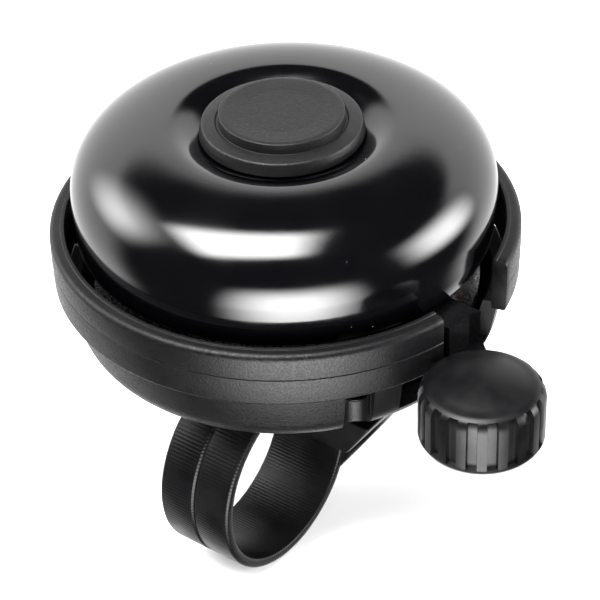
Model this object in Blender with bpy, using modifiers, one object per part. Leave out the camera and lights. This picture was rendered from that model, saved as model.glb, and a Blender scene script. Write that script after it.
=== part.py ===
"""Rotary bicycle bell with a thumb lever and a handlebar clamp.

The gong is clamped on a centre post.  Pushing the knob turns the thumb lever,
whose toothed sector drives a two-step gear and so spins the rotor.  Two loose
discs on the rotor fly outwards and strike the studs inside the gong.

Frame: the origin is the middle of the clamp's loop, +X runs along the
handlebar and +Z along the bell's own axis.  Sizes below are millimetres.
Heights called z are measured from the top edge of the base ring.
"""
import math

import bmesh
import bpy
from mathutils import Matrix, Vector

MM = 0.001
FIT_GAP = 0.3            # between faces that touch on the real bell
RUNNING_GAP = 0.06       # radial play of a turning part on its pin

# Handlebar clamp, about the middle of its loop
BAR_R = 11.3             # inside of the strap
STRAP_T = 1.25
STRAP_W = 10.3
STRAP_FREE_END = 118.0   # degrees about the bar, from +Y towards +Z
STRAP_FIXED_END = 70.0
SADDLE_R = BAR_R + 0.8
SADDLE_BACK_R = BAR_R + 2.2
SADDLE_SIDE_FROM = -35.0
SADDLE_LEFT_Y = -3.9
SADDLE_RIGHT_Y = 10.5
SADDLE_RISE = 5.2        # from the top of the bar to the underside of the bell
SADDLE_TOP_Z = BAR_R + SADDLE_RISE
SADDLE_FAR_X = -5.6
SADDLE_EDGE_X = 9.2      # where the sloping near edge crosses the bar's height
SADDLE_EDGE_SLOPE = 0.65
SADDLE_SCREW_GAP = 0.05  # extra below the bell, under the bowl
TAB_T = 1.3
TAB_SIDE_GAP = 0.2
CLAMP_SCREW_R = 1.2
CLAMP_SCREW_HEAD_R = 2.3
CLAMP_SCREW_HEAD_T = 1.3
CLAMP_SCREW_LENGTH = 8.2
CLAMP_SCREW_DROP = 2.5
CLAMP_SCREW_Z = SADDLE_TOP_Z - CLAMP_SCREW_DROP
SADDLE_SCREW_XS = (3.4, 13.5)
SADDLE_SCREW_Y = 3.0
SADDLE_SCREW_HEAD_R = 2.4
SADDLE_SCREW_HEAD_T = 1.1
SADDLE_SCREW_BITE = 3.45  # how far it goes down into the saddle

# Base
RING_R = 28.0
RING_WALL = 1.9
RING_HEIGHT = 7.0
RING_EDGE = 0.7
RING_LIP = 0.3
RING_FOOT_EDGE = 0.4
SLOT_FROM = -14.0        # the lever's slot in the ring, degrees about the axis
SLOT_TO = 12.5
BOWL_INSET = 1.6         # how far the bowl stands back from the ring
BOWL_R = RING_R - BOWL_INSET
BOWL_WALL = 1.8
BOWL_FLOOR = 2.0
BOWL_DEPTH = 8.0         # below the ring
BOWL_CORNER = 4.0
BOWL_DRAFT = 1.4         # how far the wall leans in above the corner
BOWL_SLOT_FROM = -23.5
BOWL_SLOT_TO = 16.0
BOWL_SLOT_DEPTH = 4.6    # from the wall's face inwards
CASE_ANGLES = (-35.0, 85.0, 205.0)
CASE_SETBACK = 1.8       # screws stand this far inside the ring's inner face
CASE_PITCH_R = RING_R - RING_WALL - CASE_SETBACK
CASE_POCKET_R = 1.75
CASE_BOSS_R = 3.2
CASE_BOSS_PITCH_R = CASE_PITCH_R - 0.6
CASE_POST_R = 2.2        # the ring's post that the screw bites in
CASE_POST_TOP_Z = -2.2
CASE_HOLE_TOP_Z = -3.0
CASE_SHELF = 1.6         # material left above each screw pocket
CASE_SCREW_R = 0.8
CASE_SCREW_HEAD_T = 1.0
CASE_SCREW_LENGTH = 5.0
BOSS_TRIM = 0.2          # bosses stay this far inside the bowl's face

# Where the bell's axis stands, seen from the middle of the clamp's loop.
BELL_X = -0.9
BELL_Y = 8.75
RING_TOP_Z = SADDLE_TOP_Z + FIT_GAP + SADDLE_SCREW_GAP + BOWL_DEPTH + RING_HEIGHT

# Gong
GONG_RING_GAP = 1.0
GONG_R = RING_R - RING_WALL - GONG_RING_GAP    # widest radius
GONG_WIDEST_Z = 3.95
GONG_SHOULDER_R = 8.3    # radius of the rounded shoulder
GONG_WALL = 1.2
GONG_MOUTH_Z = -1.2
GONG_MOUTH_TAPER = 0.35
GONG_HUB_R = 9.0         # flat seat in the dished crown
GONG_DISH_DEPTH = 1.3
GONG_TOP_Z = GONG_WIDEST_Z + GONG_SHOULDER_R
GONG_SEAT_Z = GONG_TOP_Z - GONG_DISH_DEPTH
STUD_R = 1.2
STUD_REACH = 3.1
STUD_Z = 1.0
STUD_FOOT_GAP = 0.5      # from the gong's inner face
STUD_ANGLES = (70.0, 250.0)
STUD_FOOT_R = GONG_R - GONG_WALL - STUD_FOOT_GAP
STUD_TIP_R = STUD_FOOT_R - STUD_REACH

# Cap over the gong's nut
CAP_FOOT_R = 9.9
CAP_FLANGE_INSET = 0.5
CAP_FLANGE_R = CAP_FOOT_R - CAP_FLANGE_INSET
CAP_FACE_R = 7.35
CAP_FLANGE_Z = GONG_TOP_Z + 0.7
CAP_FACE_RISE = 1.2
CAP_TOP_Z = CAP_FLANGE_Z + CAP_FACE_RISE
CAP_WALL = 1.0
CAP_EDGE = 0.3
SPACER_R = 3.6
WASHER_R = 4.4
WASHER_T = 0.4
NUT_R = 3.2              # across the corners, halved
NUT_T = 0.9
NUT_GAP = 0.2

# Mechanism plate
PLATE_SINK = 1.4         # how far it lies below the ring's foot
PLATE_R = BOWL_R - BOWL_DRAFT - BOWL_WALL
PLATE_T = 1.2
PLATE_TOP_Z = -RING_HEIGHT - PLATE_SINK
PLATE_SCREW_ANGLES = (150.0, 215.0, 285.0)
PLATE_SCREW_PITCH_R = 19.0
PLATE_SCREW_R = 1.0
PLATE_SCREW_HEAD_R = 2.1
PLATE_SCREW_HEAD_T = 1.0
PLATE_SCREW_LENGTH = 4.0
PLATE_BOSS_R = 2.6
RIVET_T = 0.6            # the riveted end of each pin under the plate

# Gear train
MODULE = 0.8
PRESSURE_ANGLE = 25.0
ADDENDUM = 0.6
DEDENDUM = 0.8
TOOTH_THINNING = 0.12    # each tooth is this much thinner than its space
SECTOR_TEETH = 30        # in a full circle; the lever carries five of them
SECTOR_TOOTH_STEPS = (-3, -2, -1, 0, 1)
IDLER_PINION_TEETH = 8
IDLER_WHEEL_TEETH = 24
ROTOR_TEETH = 10
GEAR_FLOOR_Z = PLATE_TOP_Z + FIT_GAP
WHEEL_Z = (GEAR_FLOOR_Z + 2.3, GEAR_FLOOR_Z + 3.5)
ROTOR_PINION_Z = (GEAR_FLOOR_Z + 2.0, -2.8)
IDLER_PIN_R = 1.0
IDLER_PIN_HEAD_R = 2.0
IDLER_PIN_TOP_Z = WHEEL_Z[1] + 1.05
IDLER_CLIP_R = 2.2
CLIP_T = 0.5
CLIP_SETBACK = 0.2       # from the pin's end to its clip

# Thumb lever
LEVER_X = 13.0
LEVER_Y = -3.0
LEVER_T = 1.8
LEVER_HUB_R = 3.6
LEVER_PIN_R = 1.2
LEVER_PIN_HEAD_R = 2.2
LEVER_PIN_TOP_Z = GEAR_FLOOR_Z + 4.2
LEVER_CLIP_R = 2.6
LEVER_WALL_X = RING_R - LEVER_X    # from the pivot to the ring's outer face
LEVER_OUTER_EDGE = ((-6.0, -3.0), (-0.6, -3.3), (0.6, -4.4))
LEVER_INNER_EDGE = ((2.2, 0.6), (0.6, 2.0), (-6.0, 2.6))
LEVER_BLOCK = ((-6.4, -2.4), (-0.7, -2.9), (-0.3, 0.6), (0.4, 1.8), (-6.4, 2.1))
LEVER_BLOCK_TOP_Z = -2.0
LEVER_BLOCK_LIFT = 0.3   # the block's underside above the lever's
SPRING_WIRE_R = 0.22
SPRING_COIL_R = 2.2
SPRING_PITCH = 0.47
SPRING_FROM = 80.0       # where the leg on the lever meets the coil
SPRING_TURN = 850.7      # ends where the coil points at the ring's post
SPRING_LEVER_LEG = (10.2, 2.8)
SPRING_BASE_BEARING = -70.9
SPRING_SEAT_GAP = 0.13

# Knob on the lever's end
KNOB_R = 7.15
KNOB_BEARING = -15.7     # degrees about the bell's axis
KNOB_RING_GAP = 0.33
KNOB_PITCH_R = RING_R + KNOB_R + KNOB_RING_GAP
KNOB_X = KNOB_PITCH_R * math.cos(math.radians(KNOB_BEARING))
KNOB_Y = KNOB_PITCH_R * math.sin(math.radians(KNOB_BEARING))
KNOB_EDGE_Z = -4.15      # where the rounded edge meets the crown
KNOB_EDGE_ROUND = 2.4
KNOB_FOOT_ROUND = 1.3
KNOB_CROWN = 0.7
KNOB_HEIGHT = 7.75
KNOB_WALL = 2.1
KNOB_HOLLOW_R = KNOB_R - KNOB_WALL
KNOB_SCREW_R = 1.2
KNOB_SCREW_HEAD_R = 2.6
KNOB_SCREW_HEAD_T = 1.3
KNOB_SCREW_ROOF = 0.9    # from the knob's edge height down to the hole's end
KNOB_SCREW_LENGTH = KNOB_EDGE_Z - KNOB_SCREW_ROOF - GEAR_FLOOR_Z
PAD_R = 3.2

# Rotor
POST_R = 2.5
POST_THREAD_R = 2.0
POST_SHOULDER_Z = 0.7
POST_TOP_RISE = 1.8      # above the gong's seat
POST_FLANGE_R = 3.4
POST_FLANGE_T = 0.9
POST_SWAGE_T = 0.8
ROTOR_COLLAR_R = 3.4
ARM_Z = (-1.9, -0.8)
ARM_END_R = 3.5
ARM_MIDDLE_R = 5.6
DISC_R = 5.5
DISC_HOLE_R = 2.65
DISC_T = 3.0
DISC_EDGE = 0.3
DISC_STUD_GAP = 0.25     # left when a disc has used all its play
CLAPPER_PIN_R = 1.6
CLAPPER_HEAD_R = 3.4
CLAPPER_HEAD_T = 0.8
DISC_PLAY = DISC_HOLE_R - CLAPPER_PIN_R
ARM_REACH = STUD_TIP_R - DISC_R - DISC_PLAY - DISC_STUD_GAP
ROTOR_REST_ANGLE = 160.0

AXIS = Vector((BELL_X, BELL_Y, RING_TOP_Z))
BOWL_BOTTOM_Z = -RING_HEIGHT - BOWL_DEPTH
BOWL_FLOOR_Z = BOWL_BOTTOM_Z + BOWL_FLOOR


def clear_scene():
    for obj in list(bpy.data.objects):
        bpy.data.objects.remove(obj, do_unlink=True)


def new_collection(name):
    collection = bpy.data.collections.new(name)
    bpy.context.scene.collection.children.link(collection)
    return collection


def material(name, colour, roughness, metallic):
    mat = bpy.data.materials.new(name)
    mat.use_nodes = True
    shader = mat.node_tree.nodes["Principled BSDF"]
    shader.inputs["Base Color"].default_value = (*colour, 1.0)
    shader.inputs["Roughness"].default_value = roughness
    shader.inputs["Metallic"].default_value = metallic
    return mat


def polar(radius, degrees):
    angle = math.radians(degrees)
    return (radius * math.cos(angle), radius * math.sin(angle))


def arc(radius, start, stop, steps, centre=(0.0, 0.0)):
    """Points from start to stop degrees, both ends included."""
    points = []
    for step in range(steps + 1):
        x, y = polar(radius, start + (stop - start) * step / steps)
        points.append((centre[0] + x, centre[1] + y))
    return points


def add_object(name, mesh, at=(0.0, 0.0, 0.0), rotation=(0.0, 0.0, 0.0), of_bell=True):
    """Place a mesh in millimetres: from the bell's axis, or from the clamp's centre."""
    mesh.transform(Matrix.Scale(MM, 4))
    obj = bpy.data.objects.new(name, mesh)
    place = Vector(at) + (AXIS if of_bell else Vector((0.0, 0.0, 0.0)))
    obj.location = place * MM
    obj.rotation_euler = [math.radians(angle) for angle in rotation]
    PARTS.objects.link(obj)
    return obj


def finish(obj, mat, smooth_below=35.0):
    """Give a part its material and shade its round faces smooth."""
    obj.data.materials.clear()
    obj.data.materials.append(mat)
    obj.data.shade_smooth()
    obj.data.set_sharp_from_angle(angle=math.radians(smooth_below))
    return obj


def turned_mesh(name, profile, steps, closed=False):
    """A lathe profile of (radius, z), outer side from top to bottom, about Z."""
    mesh = bpy.data.meshes.new(name)
    shape = bmesh.new()
    verts = [shape.verts.new((radius, 0.0, z)) for radius, z in profile]
    for first, second in zip(verts, verts[1:]):
        shape.edges.new((first, second))
    if closed:
        shape.edges.new((verts[-1], verts[0]))
    shape.to_mesh(mesh)
    shape.free()
    lathe = bpy.data.objects.new(name, mesh)
    bpy.context.scene.collection.objects.link(lathe)
    screw = lathe.modifiers.new("lathe", 'SCREW')
    screw.steps = steps
    screw.render_steps = steps
    screw.use_merge_vertices = True
    screw.merge_threshold = 0.00001
    return baked_mesh(lathe)


def baked_mesh(obj):
    """The evaluated mesh of a helper object, welded; the helper is removed."""
    bpy.context.view_layer.update()
    graph = bpy.context.evaluated_depsgraph_get()
    mesh = bpy.data.meshes.new_from_object(obj.evaluated_get(graph))
    mesh.transform(obj.matrix_world)
    bpy.data.objects.remove(obj, do_unlink=True)
    shape = bmesh.new()
    shape.from_mesh(mesh)
    bmesh.ops.remove_doubles(shape, verts=shape.verts, dist=0.0005)
    shape.to_mesh(mesh)
    shape.free()
    return mesh


def plate_mesh(name, outlines, z_low, z_high):
    """Closed outlines of (x, y), filled and extruded; an inner outline is a hole."""
    curve = bpy.data.curves.new(name, 'CURVE')
    curve.dimensions = '2D'
    curve.fill_mode = 'BOTH'
    curve.extrude = (z_high - z_low) / 2
    for outline in outlines:
        spline = curve.splines.new('POLY')
        spline.points.add(len(outline) - 1)
        for point, (x, y) in zip(spline.points, outline):
            point.co = (x, y, 0.0, 1.0)
        spline.use_cyclic_u = True
    flat = bpy.data.objects.new(name, curve)
    flat.location.z = (z_low + z_high) / 2
    bpy.context.scene.collection.objects.link(flat)
    return baked_mesh(flat)


def tube_mesh(name, points, radius):
    """A wire along points."""
    curve = bpy.data.curves.new(name, 'CURVE')
    curve.dimensions = '3D'
    curve.bevel_depth = radius
    curve.bevel_resolution = 2
    curve.use_fill_caps = True
    spline = curve.splines.new('POLY')
    spline.points.add(len(points) - 1)
    for point, place in zip(spline.points, points):
        point.co = (*place, 1.0)
    wire = bpy.data.objects.new(name, curve)
    bpy.context.scene.collection.objects.link(wire)
    return baked_mesh(wire)


def rod_profile(radius, z_top, z_bottom):
    return [(0.0, z_top), (radius, z_top), (radius, z_bottom), (0.0, z_bottom)]


def tube_profile(outer, inner, z_top, z_bottom):
    return [(outer, z_top), (outer, z_bottom), (inner, z_bottom), (inner, z_top)]


def combine(obj, tool, operation):
    """Cut or join obj with tool, which becomes a hidden helper."""
    PARTS.objects.unlink(tool)
    CUTTERS.objects.link(tool)
    tool.hide_render = True
    tool.display_type = 'WIRE'
    step = obj.modifiers.new(tool.name, 'BOOLEAN')
    step.operation = operation
    step.solver = 'EXACT'
    step.object = tool


def cut_cylinder(obj, radius, at, z_top, z_bottom, steps=24, of_bell=True, rotation=(0, 0, 0)):
    mesh = turned_mesh("hole", rod_profile(radius, z_top, z_bottom), steps)
    combine(obj, add_object("hole", mesh, at, rotation, of_bell), 'DIFFERENCE')


def cut_outline(obj, outline, z_low, z_high):
    tool = add_object("opening", plate_mesh("opening", [outline], z_low, z_high))
    combine(obj, tool, 'DIFFERENCE')


def screw_part(name, at, shank_r, head_r, head_t, length, mat, rotation=(0, 0, 0), of_bell=True):
    """A pan-head screw whose head stands on z = 0 and whose shank runs down."""
    profile = [(0.0, head_t), (head_r * 0.7, head_t), (head_r, head_t * 0.5), (head_r, 0.0)]
    profile += [(shank_r, 0.0), (shank_r, -length), (0.0, -length)]
    screw = add_object(name, turned_mesh(name, profile, 12), at, rotation, of_bell)
    return finish(screw, mat)


def offset_profile(points, distance):
    """The same profile moved to its right-hand side by distance."""
    moved = []
    for index, point in enumerate(points):
        before = Vector(points[max(index - 1, 0)])
        after = Vector(points[min(index + 1, len(points) - 1)])
        along = (after - before).normalized()
        moved.append((point[0] + along.y * distance, point[1] - along.x * distance))
    return moved


# --- gears ---------------------------------------------------------------

def involute(angle):
    return math.tan(angle) - angle


def tooth_points(teeth, centre_angle):
    """One tooth of an involute gear, from its clockwise root to the other root."""
    pitch_r = MODULE * teeth / 2
    pressure = math.radians(PRESSURE_ANGLE)
    base_r = pitch_r * math.cos(pressure)
    root_r = pitch_r - DEDENDUM
    tip_r = pitch_r + ADDENDUM
    half_at_pitch = math.pi / (2 * teeth) - TOOTH_THINNING / (4 * pitch_r)
    start_r = max(base_r, root_r)
    flank = [(root_r, half_at_pitch + involute(pressure))] if root_r < base_r else []
    for step in range(4):
        radius = start_r + (tip_r - start_r) * step / 3
        local = math.acos(min(1.0, base_r / radius))
        flank.append((radius, half_at_pitch + involute(pressure) - involute(local)))
    middle = math.radians(centre_angle)
    rising = [(r * math.cos(middle - a), r * math.sin(middle - a)) for r, a in flank]
    falling = [(r * math.cos(middle + a), r * math.sin(middle + a)) for r, a in reversed(flank)]
    return rising + falling


def gear_outline(teeth, first_angle):
    """A full gear with the middle of a tooth at first_angle degrees."""
    points = []
    for tooth in range(teeth):
        points += tooth_points(teeth, first_angle + 360.0 * tooth / teeth)
    return points


def pitch_radius(teeth):
    return MODULE * teeth / 2


def meeting_point(first, first_r, second, second_r):
    """Where circles about two centres cross, on the left of first to second."""
    gap = Vector(second) - Vector(first)
    along = (first_r ** 2 - second_r ** 2 + gap.length_squared) / (2 * gap.length)
    across = math.sqrt(first_r ** 2 - along ** 2)
    unit = gap.normalized()
    return Vector(first) + unit * along + Vector((-unit.y, unit.x)) * across


def bearing(start, end):
    step = Vector(end) - Vector(start)
    return math.degrees(math.atan2(step.y, step.x))


LEVER_AT = (LEVER_X, LEVER_Y)
IDLER_AT = meeting_point(
    (0.0, 0.0), pitch_radius(ROTOR_TEETH) + pitch_radius(IDLER_WHEEL_TEETH),
    LEVER_AT, pitch_radius(SECTOR_TEETH) + pitch_radius(IDLER_PINION_TEETH))
SECTOR_BEARING = bearing(LEVER_AT, IDLER_AT)
IDLER_BEARING = bearing(IDLER_AT, (0.0, 0.0))


# --- pieces --------------------------------------------------------------

def gong_outer_profile():
    """From the middle of the crown, over the shoulder and down to the mouth."""
    shoulder_x = GONG_R - GONG_SHOULDER_R
    points = [(POST_THREAD_R + FIT_GAP, GONG_SEAT_Z), (GONG_HUB_R, GONG_SEAT_Z)]
    rise = shoulder_x - GONG_HUB_R
    for step in range(1, 3):
        share = step / 3
        lift = GONG_DISH_DEPTH * math.sin(share * math.pi / 2)
        points.append((GONG_HUB_R + rise * share, GONG_SEAT_Z + lift))
    for x, z in arc(GONG_SHOULDER_R, 90.0, 0.0, 8, (shoulder_x, GONG_WIDEST_Z)):
        points.append((x, z))
    points.append((GONG_R - GONG_MOUTH_TAPER, GONG_MOUTH_Z))
    return points


def make_gong():
    outer = gong_outer_profile()
    inner = offset_profile(outer, GONG_WALL)
    inner = [(POST_THREAD_R + FIT_GAP, inner[0][1])] + inner[1:-1] + [
        (outer[-1][0] - GONG_WALL, GONG_MOUTH_Z)]
    inner.reverse()
    mesh = turned_mesh("gong", outer + inner, 48, closed=True)
    return finish(add_object("gong", mesh), GLOSS_BLACK)


def make_studs():
    for number, angle in enumerate(STUD_ANGLES, start=1):
        x, y = polar(STUD_FOOT_R, angle)
        mesh = turned_mesh("stud", rod_profile(STUD_R, 0.0, -STUD_REACH), 16)
        stud = add_object(f"gong_stud_{number}", mesh, (x, y, STUD_Z), (0.0, 90.0, angle))
        finish(stud, STEEL)


def make_cap():
    roof = CAP_TOP_Z - CAP_WALL
    foot_z = GONG_SEAT_Z + FIT_GAP
    profile = [(0.0, CAP_TOP_Z), (CAP_FACE_R - CAP_EDGE, CAP_TOP_Z)]
    profile += [(CAP_FACE_R, CAP_TOP_Z - CAP_EDGE)]
    profile += [(CAP_FACE_R, CAP_FLANGE_Z + 0.1), (CAP_FACE_R + 0.2, CAP_FLANGE_Z)]
    profile += [(CAP_FLANGE_R - CAP_EDGE, CAP_FLANGE_Z)]
    profile += [(CAP_FLANGE_R, CAP_FLANGE_Z - CAP_EDGE)]
    profile += [(CAP_FOOT_R - 0.2, foot_z + 0.5), (CAP_FOOT_R - 0.2, foot_z)]
    profile += [(CAP_FACE_R - CAP_WALL, foot_z), (CAP_FACE_R - CAP_WALL, roof), (0.0, roof)]
    return finish(add_object("cap", turned_mesh("cap", profile, 32)), GRAINED_PLASTIC)


def make_gong_fixing():
    """Spacer below the gong, washer and nut above it."""
    gong_under_z = GONG_SEAT_Z - GONG_WALL - FIT_GAP
    bore = POST_THREAD_R + FIT_GAP
    spacer = tube_profile(SPACER_R, bore, gong_under_z, POST_SHOULDER_Z + FIT_GAP)
    finish(add_object("gong_spacer", turned_mesh("spacer", spacer, 24, True)), BRASS)
    washer_z = GONG_SEAT_Z + FIT_GAP
    washer = tube_profile(WASHER_R, bore, washer_z + WASHER_T, washer_z)
    finish(add_object("gong_washer", turned_mesh("washer", washer, 24, True)), STEEL)
    nut_z = washer_z + WASHER_T + NUT_GAP
    hexagon = [polar(NUT_R, 60.0 * corner) for corner in range(6)]
    hole = arc(bore, 0.0, 345.0, 23)
    nut = plate_mesh("nut", [hexagon, hole], nut_z, nut_z + NUT_T)
    finish(add_object("gong_nut", nut), STEEL)


def make_post():
    swage_top = PLATE_TOP_Z - PLATE_T - FIT_GAP
    flange_z = PLATE_TOP_Z + FIT_GAP
    top = GONG_SEAT_Z + POST_TOP_RISE
    profile = [(0.0, top), (POST_THREAD_R, top), (POST_THREAD_R, POST_SHOULDER_Z)]
    profile += [(POST_R, POST_SHOULDER_Z), (POST_R, flange_z + POST_FLANGE_T)]
    profile += [(POST_FLANGE_R, flange_z + POST_FLANGE_T), (POST_FLANGE_R, flange_z)]
    profile += [(POST_THREAD_R, flange_z), (POST_THREAD_R, swage_top)]
    profile += [(POST_FLANGE_R, swage_top), (POST_FLANGE_R, swage_top - POST_SWAGE_T)]
    profile += [(0.0, swage_top - POST_SWAGE_T)]
    finish(add_object("centre_post", turned_mesh("post", profile, 24)), STEEL)


def make_plate():
    holes = [arc(POST_THREAD_R + FIT_GAP, 0.0, 337.5, 15)]
    holes.append(arc(LEVER_PIN_R + FIT_GAP, 0.0, 330.0, 11, LEVER_AT))
    holes.append(arc(IDLER_PIN_R + FIT_GAP, 0.0, 330.0, 11, tuple(IDLER_AT)))
    for angle in PLATE_SCREW_ANGLES:
        centre = polar(PLATE_SCREW_PITCH_R, angle)
        holes.append(arc(PLATE_SCREW_R + FIT_GAP, 0.0, 330.0, 11, centre))
    rim = arc(PLATE_R, 0.0, 354.0, 59)
    mesh = plate_mesh("plate", [rim] + holes, PLATE_TOP_Z - PLATE_T, PLATE_TOP_Z)
    plate = add_object("mechanism_plate", mesh)
    for angle in CASE_ANGLES:
        x, y = polar(CASE_BOSS_PITCH_R, angle)
        cut_cylinder(plate, CASE_BOSS_R + FIT_GAP, (x, y, PLATE_TOP_Z), 2.0, -4.0)
    finish(plate, ZINC)
    for number, angle in enumerate(PLATE_SCREW_ANGLES, start=1):
        x, y = polar(PLATE_SCREW_PITCH_R, angle)
        place = (x, y, PLATE_TOP_Z + FIT_GAP)
        screw_part(f"plate_screw_{number}", place, PLATE_SCREW_R, PLATE_SCREW_HEAD_R,
                   PLATE_SCREW_HEAD_T, PLATE_SCREW_LENGTH, STEEL)


def sector_cut(radius, start, stop, inner):
    """A wedge-shaped outline from inner to radius."""
    return arc(radius, start, stop, 8) + arc(inner, stop, start, 4)


def make_ring():
    inner = RING_R - RING_WALL
    profile = [(inner + RING_LIP, 0.0), (RING_R - RING_EDGE, 0.0)]
    profile += arc(RING_EDGE, 90.0, 0.0, 2, (RING_R - RING_EDGE, -RING_EDGE))[1:]
    profile += [(RING_R, -RING_HEIGHT + RING_FOOT_EDGE)]
    profile += [(RING_R - RING_FOOT_EDGE, -RING_HEIGHT)]
    profile += [(inner, -RING_HEIGHT), (inner, -RING_LIP)]
    ring = add_object("base_ring", turned_mesh("ring", profile, 48, closed=True))
    for angle in CASE_ANGLES:
        x, y = polar(CASE_PITCH_R, angle)
        boss = turned_mesh("boss", rod_profile(CASE_POST_R, CASE_POST_TOP_Z, -RING_HEIGHT + 0.15), 14)
        combine(ring, add_object("boss", boss, (x, y, 0.0)), 'UNION')
    for angle in CASE_ANGLES:
        x, y = polar(CASE_PITCH_R, angle)
        cut_cylinder(ring, CASE_SCREW_R + FIT_GAP, (x, y, 0.0), CASE_HOLE_TOP_Z, -RING_HEIGHT - 1.0, 12)
    cut_outline(ring, sector_cut(RING_R + 4.0, SLOT_FROM, SLOT_TO, RING_R - 6.0), -9.0, 2.0)
    return finish(ring, GRAINED_PLASTIC)


def bowl_outer_profile():
    top = -RING_HEIGHT - FIT_GAP
    corner_x = BOWL_R - BOWL_DRAFT - BOWL_CORNER
    corner = arc(BOWL_CORNER, 0.0, -90.0, 4, (corner_x, BOWL_BOTTOM_Z + BOWL_CORNER))
    return [(BOWL_R, top)] + corner


def bowl_boss(bowl, radius, pitch_r, angle, z_top):
    """A boss on the bowl's floor, trimmed where it would stand through the wall."""
    x, y = polar(pitch_r, angle)
    mesh = turned_mesh("boss", rod_profile(radius, z_top, BOWL_FLOOR_Z - 1.0), 16)
    boss = add_object("boss", mesh, (x, y, 0.0))
    inside = offset_profile(bowl_outer_profile(), BOSS_TRIM)
    solid = [(0.0, inside[0][1] + 1.0), (inside[0][0], inside[0][1] + 1.0)] + inside
    solid.append((0.0, inside[-1][1]))
    envelope = add_object("envelope", turned_mesh("envelope", solid, 48))
    combine(boss, envelope, 'INTERSECT')
    combine(bowl, boss, 'UNION')


def make_bowl():
    top = -RING_HEIGHT - FIT_GAP
    corner_x = BOWL_R - BOWL_DRAFT - BOWL_CORNER
    inner_corner = BOWL_CORNER - BOWL_WALL
    inner = arc(inner_corner, -90.0, 0.0, 2, (corner_x, BOWL_FLOOR_Z + inner_corner))
    profile = bowl_outer_profile() + [(0.0, BOWL_BOTTOM_Z), (0.0, BOWL_FLOOR_Z)]
    profile += inner + [(BOWL_R - BOWL_WALL, top)]
    bowl = add_object("base_bowl", turned_mesh("bowl", profile, 48, closed=True))
    for angle in CASE_ANGLES:
        bowl_boss(bowl, CASE_BOSS_R, CASE_BOSS_PITCH_R, angle, top - 0.2)
    for angle in PLATE_SCREW_ANGLES:
        x, y = polar(PLATE_SCREW_PITCH_R, angle)
        bowl_boss(bowl, PLATE_BOSS_R, PLATE_SCREW_PITCH_R, angle, PLATE_TOP_Z - PLATE_T - FIT_GAP)
        cut_cylinder(bowl, PLATE_SCREW_R + FIT_GAP, (x, y, 0.0), PLATE_TOP_Z, BOWL_FLOOR_Z + 0.2, 12)
    for angle in CASE_ANGLES:
        cut_case_pocket(bowl, angle)
    outline = sector_cut(RING_R + 4.0, BOWL_SLOT_FROM, BOWL_SLOT_TO, BOWL_R - BOWL_SLOT_DEPTH)
    cut_outline(bowl, outline, BOWL_FLOOR_Z + 0.4, -RING_HEIGHT + 2.0)
    for x in SADDLE_SCREW_XS:
        place = (x - BELL_X, SADDLE_SCREW_Y - BELL_Y, 0.0)
        cut_cylinder(bowl, CLAMP_SCREW_R + FIT_GAP, place, BOWL_FLOOR_Z + 1.0, BOWL_BOTTOM_Z - 1.0, 12)
    return finish(bowl, GRAINED_PLASTIC)


def cut_case_pocket(bowl, angle):
    """A screw pocket from below that also opens through the side wall."""
    x, y = polar(CASE_PITCH_R, angle)
    shelf_z = -RING_HEIGHT - CASE_SHELF
    cut_cylinder(bowl, CASE_POCKET_R, (x, y, 0.0), shelf_z, BOWL_BOTTOM_Z - 1.0, 16)
    cut_cylinder(bowl, CASE_SCREW_R + FIT_GAP, (x, y, 0.0), -RING_HEIGHT + 2.0, shelf_z - 1.0, 12)
    side = [(CASE_PITCH_R + 0.4, -CASE_POCKET_R), (RING_R + 3.0, -CASE_POCKET_R)]
    side += [(RING_R + 3.0, CASE_POCKET_R), (CASE_PITCH_R + 0.4, CASE_POCKET_R)]
    mesh = plate_mesh("notch", [side], BOWL_BOTTOM_Z - 1.0, -RING_HEIGHT + 1.0)
    combine(bowl, add_object("notch", mesh, (0.0, 0.0, 0.0), (0.0, 0.0, angle)), 'DIFFERENCE')


def make_case_screws():
    shelf_z = -RING_HEIGHT - CASE_SHELF
    for number, angle in enumerate(CASE_ANGLES, start=1):
        x, y = polar(CASE_PITCH_R, angle)
        place = (x, y, shelf_z - FIT_GAP)
        screw_part(f"case_screw_{number}", place, CASE_SCREW_R, CASE_POCKET_R - FIT_GAP,
                   CASE_SCREW_HEAD_T, CASE_SCREW_LENGTH, BLACK_STEEL, (180.0, 0.0, 0.0))


def from_wall(points):
    """Points given from the ring's outer face, moved to the lever's pivot."""
    return [(LEVER_WALL_X + x, y) for x, y in points]


def lever_outline():
    """Hub, toothed sector and arm, seen from the lever's own pivot."""
    knob = (KNOB_X - LEVER_X, KNOB_Y - LEVER_Y)
    root_r = pitch_radius(SECTOR_TEETH) - DEDENDUM
    pitch = 360.0 / SECTOR_TEETH
    first = SECTOR_BEARING + pitch * SECTOR_TOOTH_STEPS[0]
    last = SECTOR_BEARING + pitch * SECTOR_TOOTH_STEPS[-1]
    points = arc(LEVER_HUB_R, -150.0, -42.0, 6)
    points += from_wall(LEVER_OUTER_EDGE)
    points += arc(PAD_R, -140.0, 60.0, 12, knob)
    points += from_wall(LEVER_INNER_EDGE)
    points += [polar(LEVER_HUB_R, 40.0), polar(root_r, first - pitch / 2)]
    for step in SECTOR_TOOTH_STEPS:
        points += tooth_points(SECTOR_TEETH, SECTOR_BEARING + pitch * step)
    points += [polar(root_r, last + pitch / 2), polar(LEVER_HUB_R, last + 25.0)]
    return points


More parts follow.
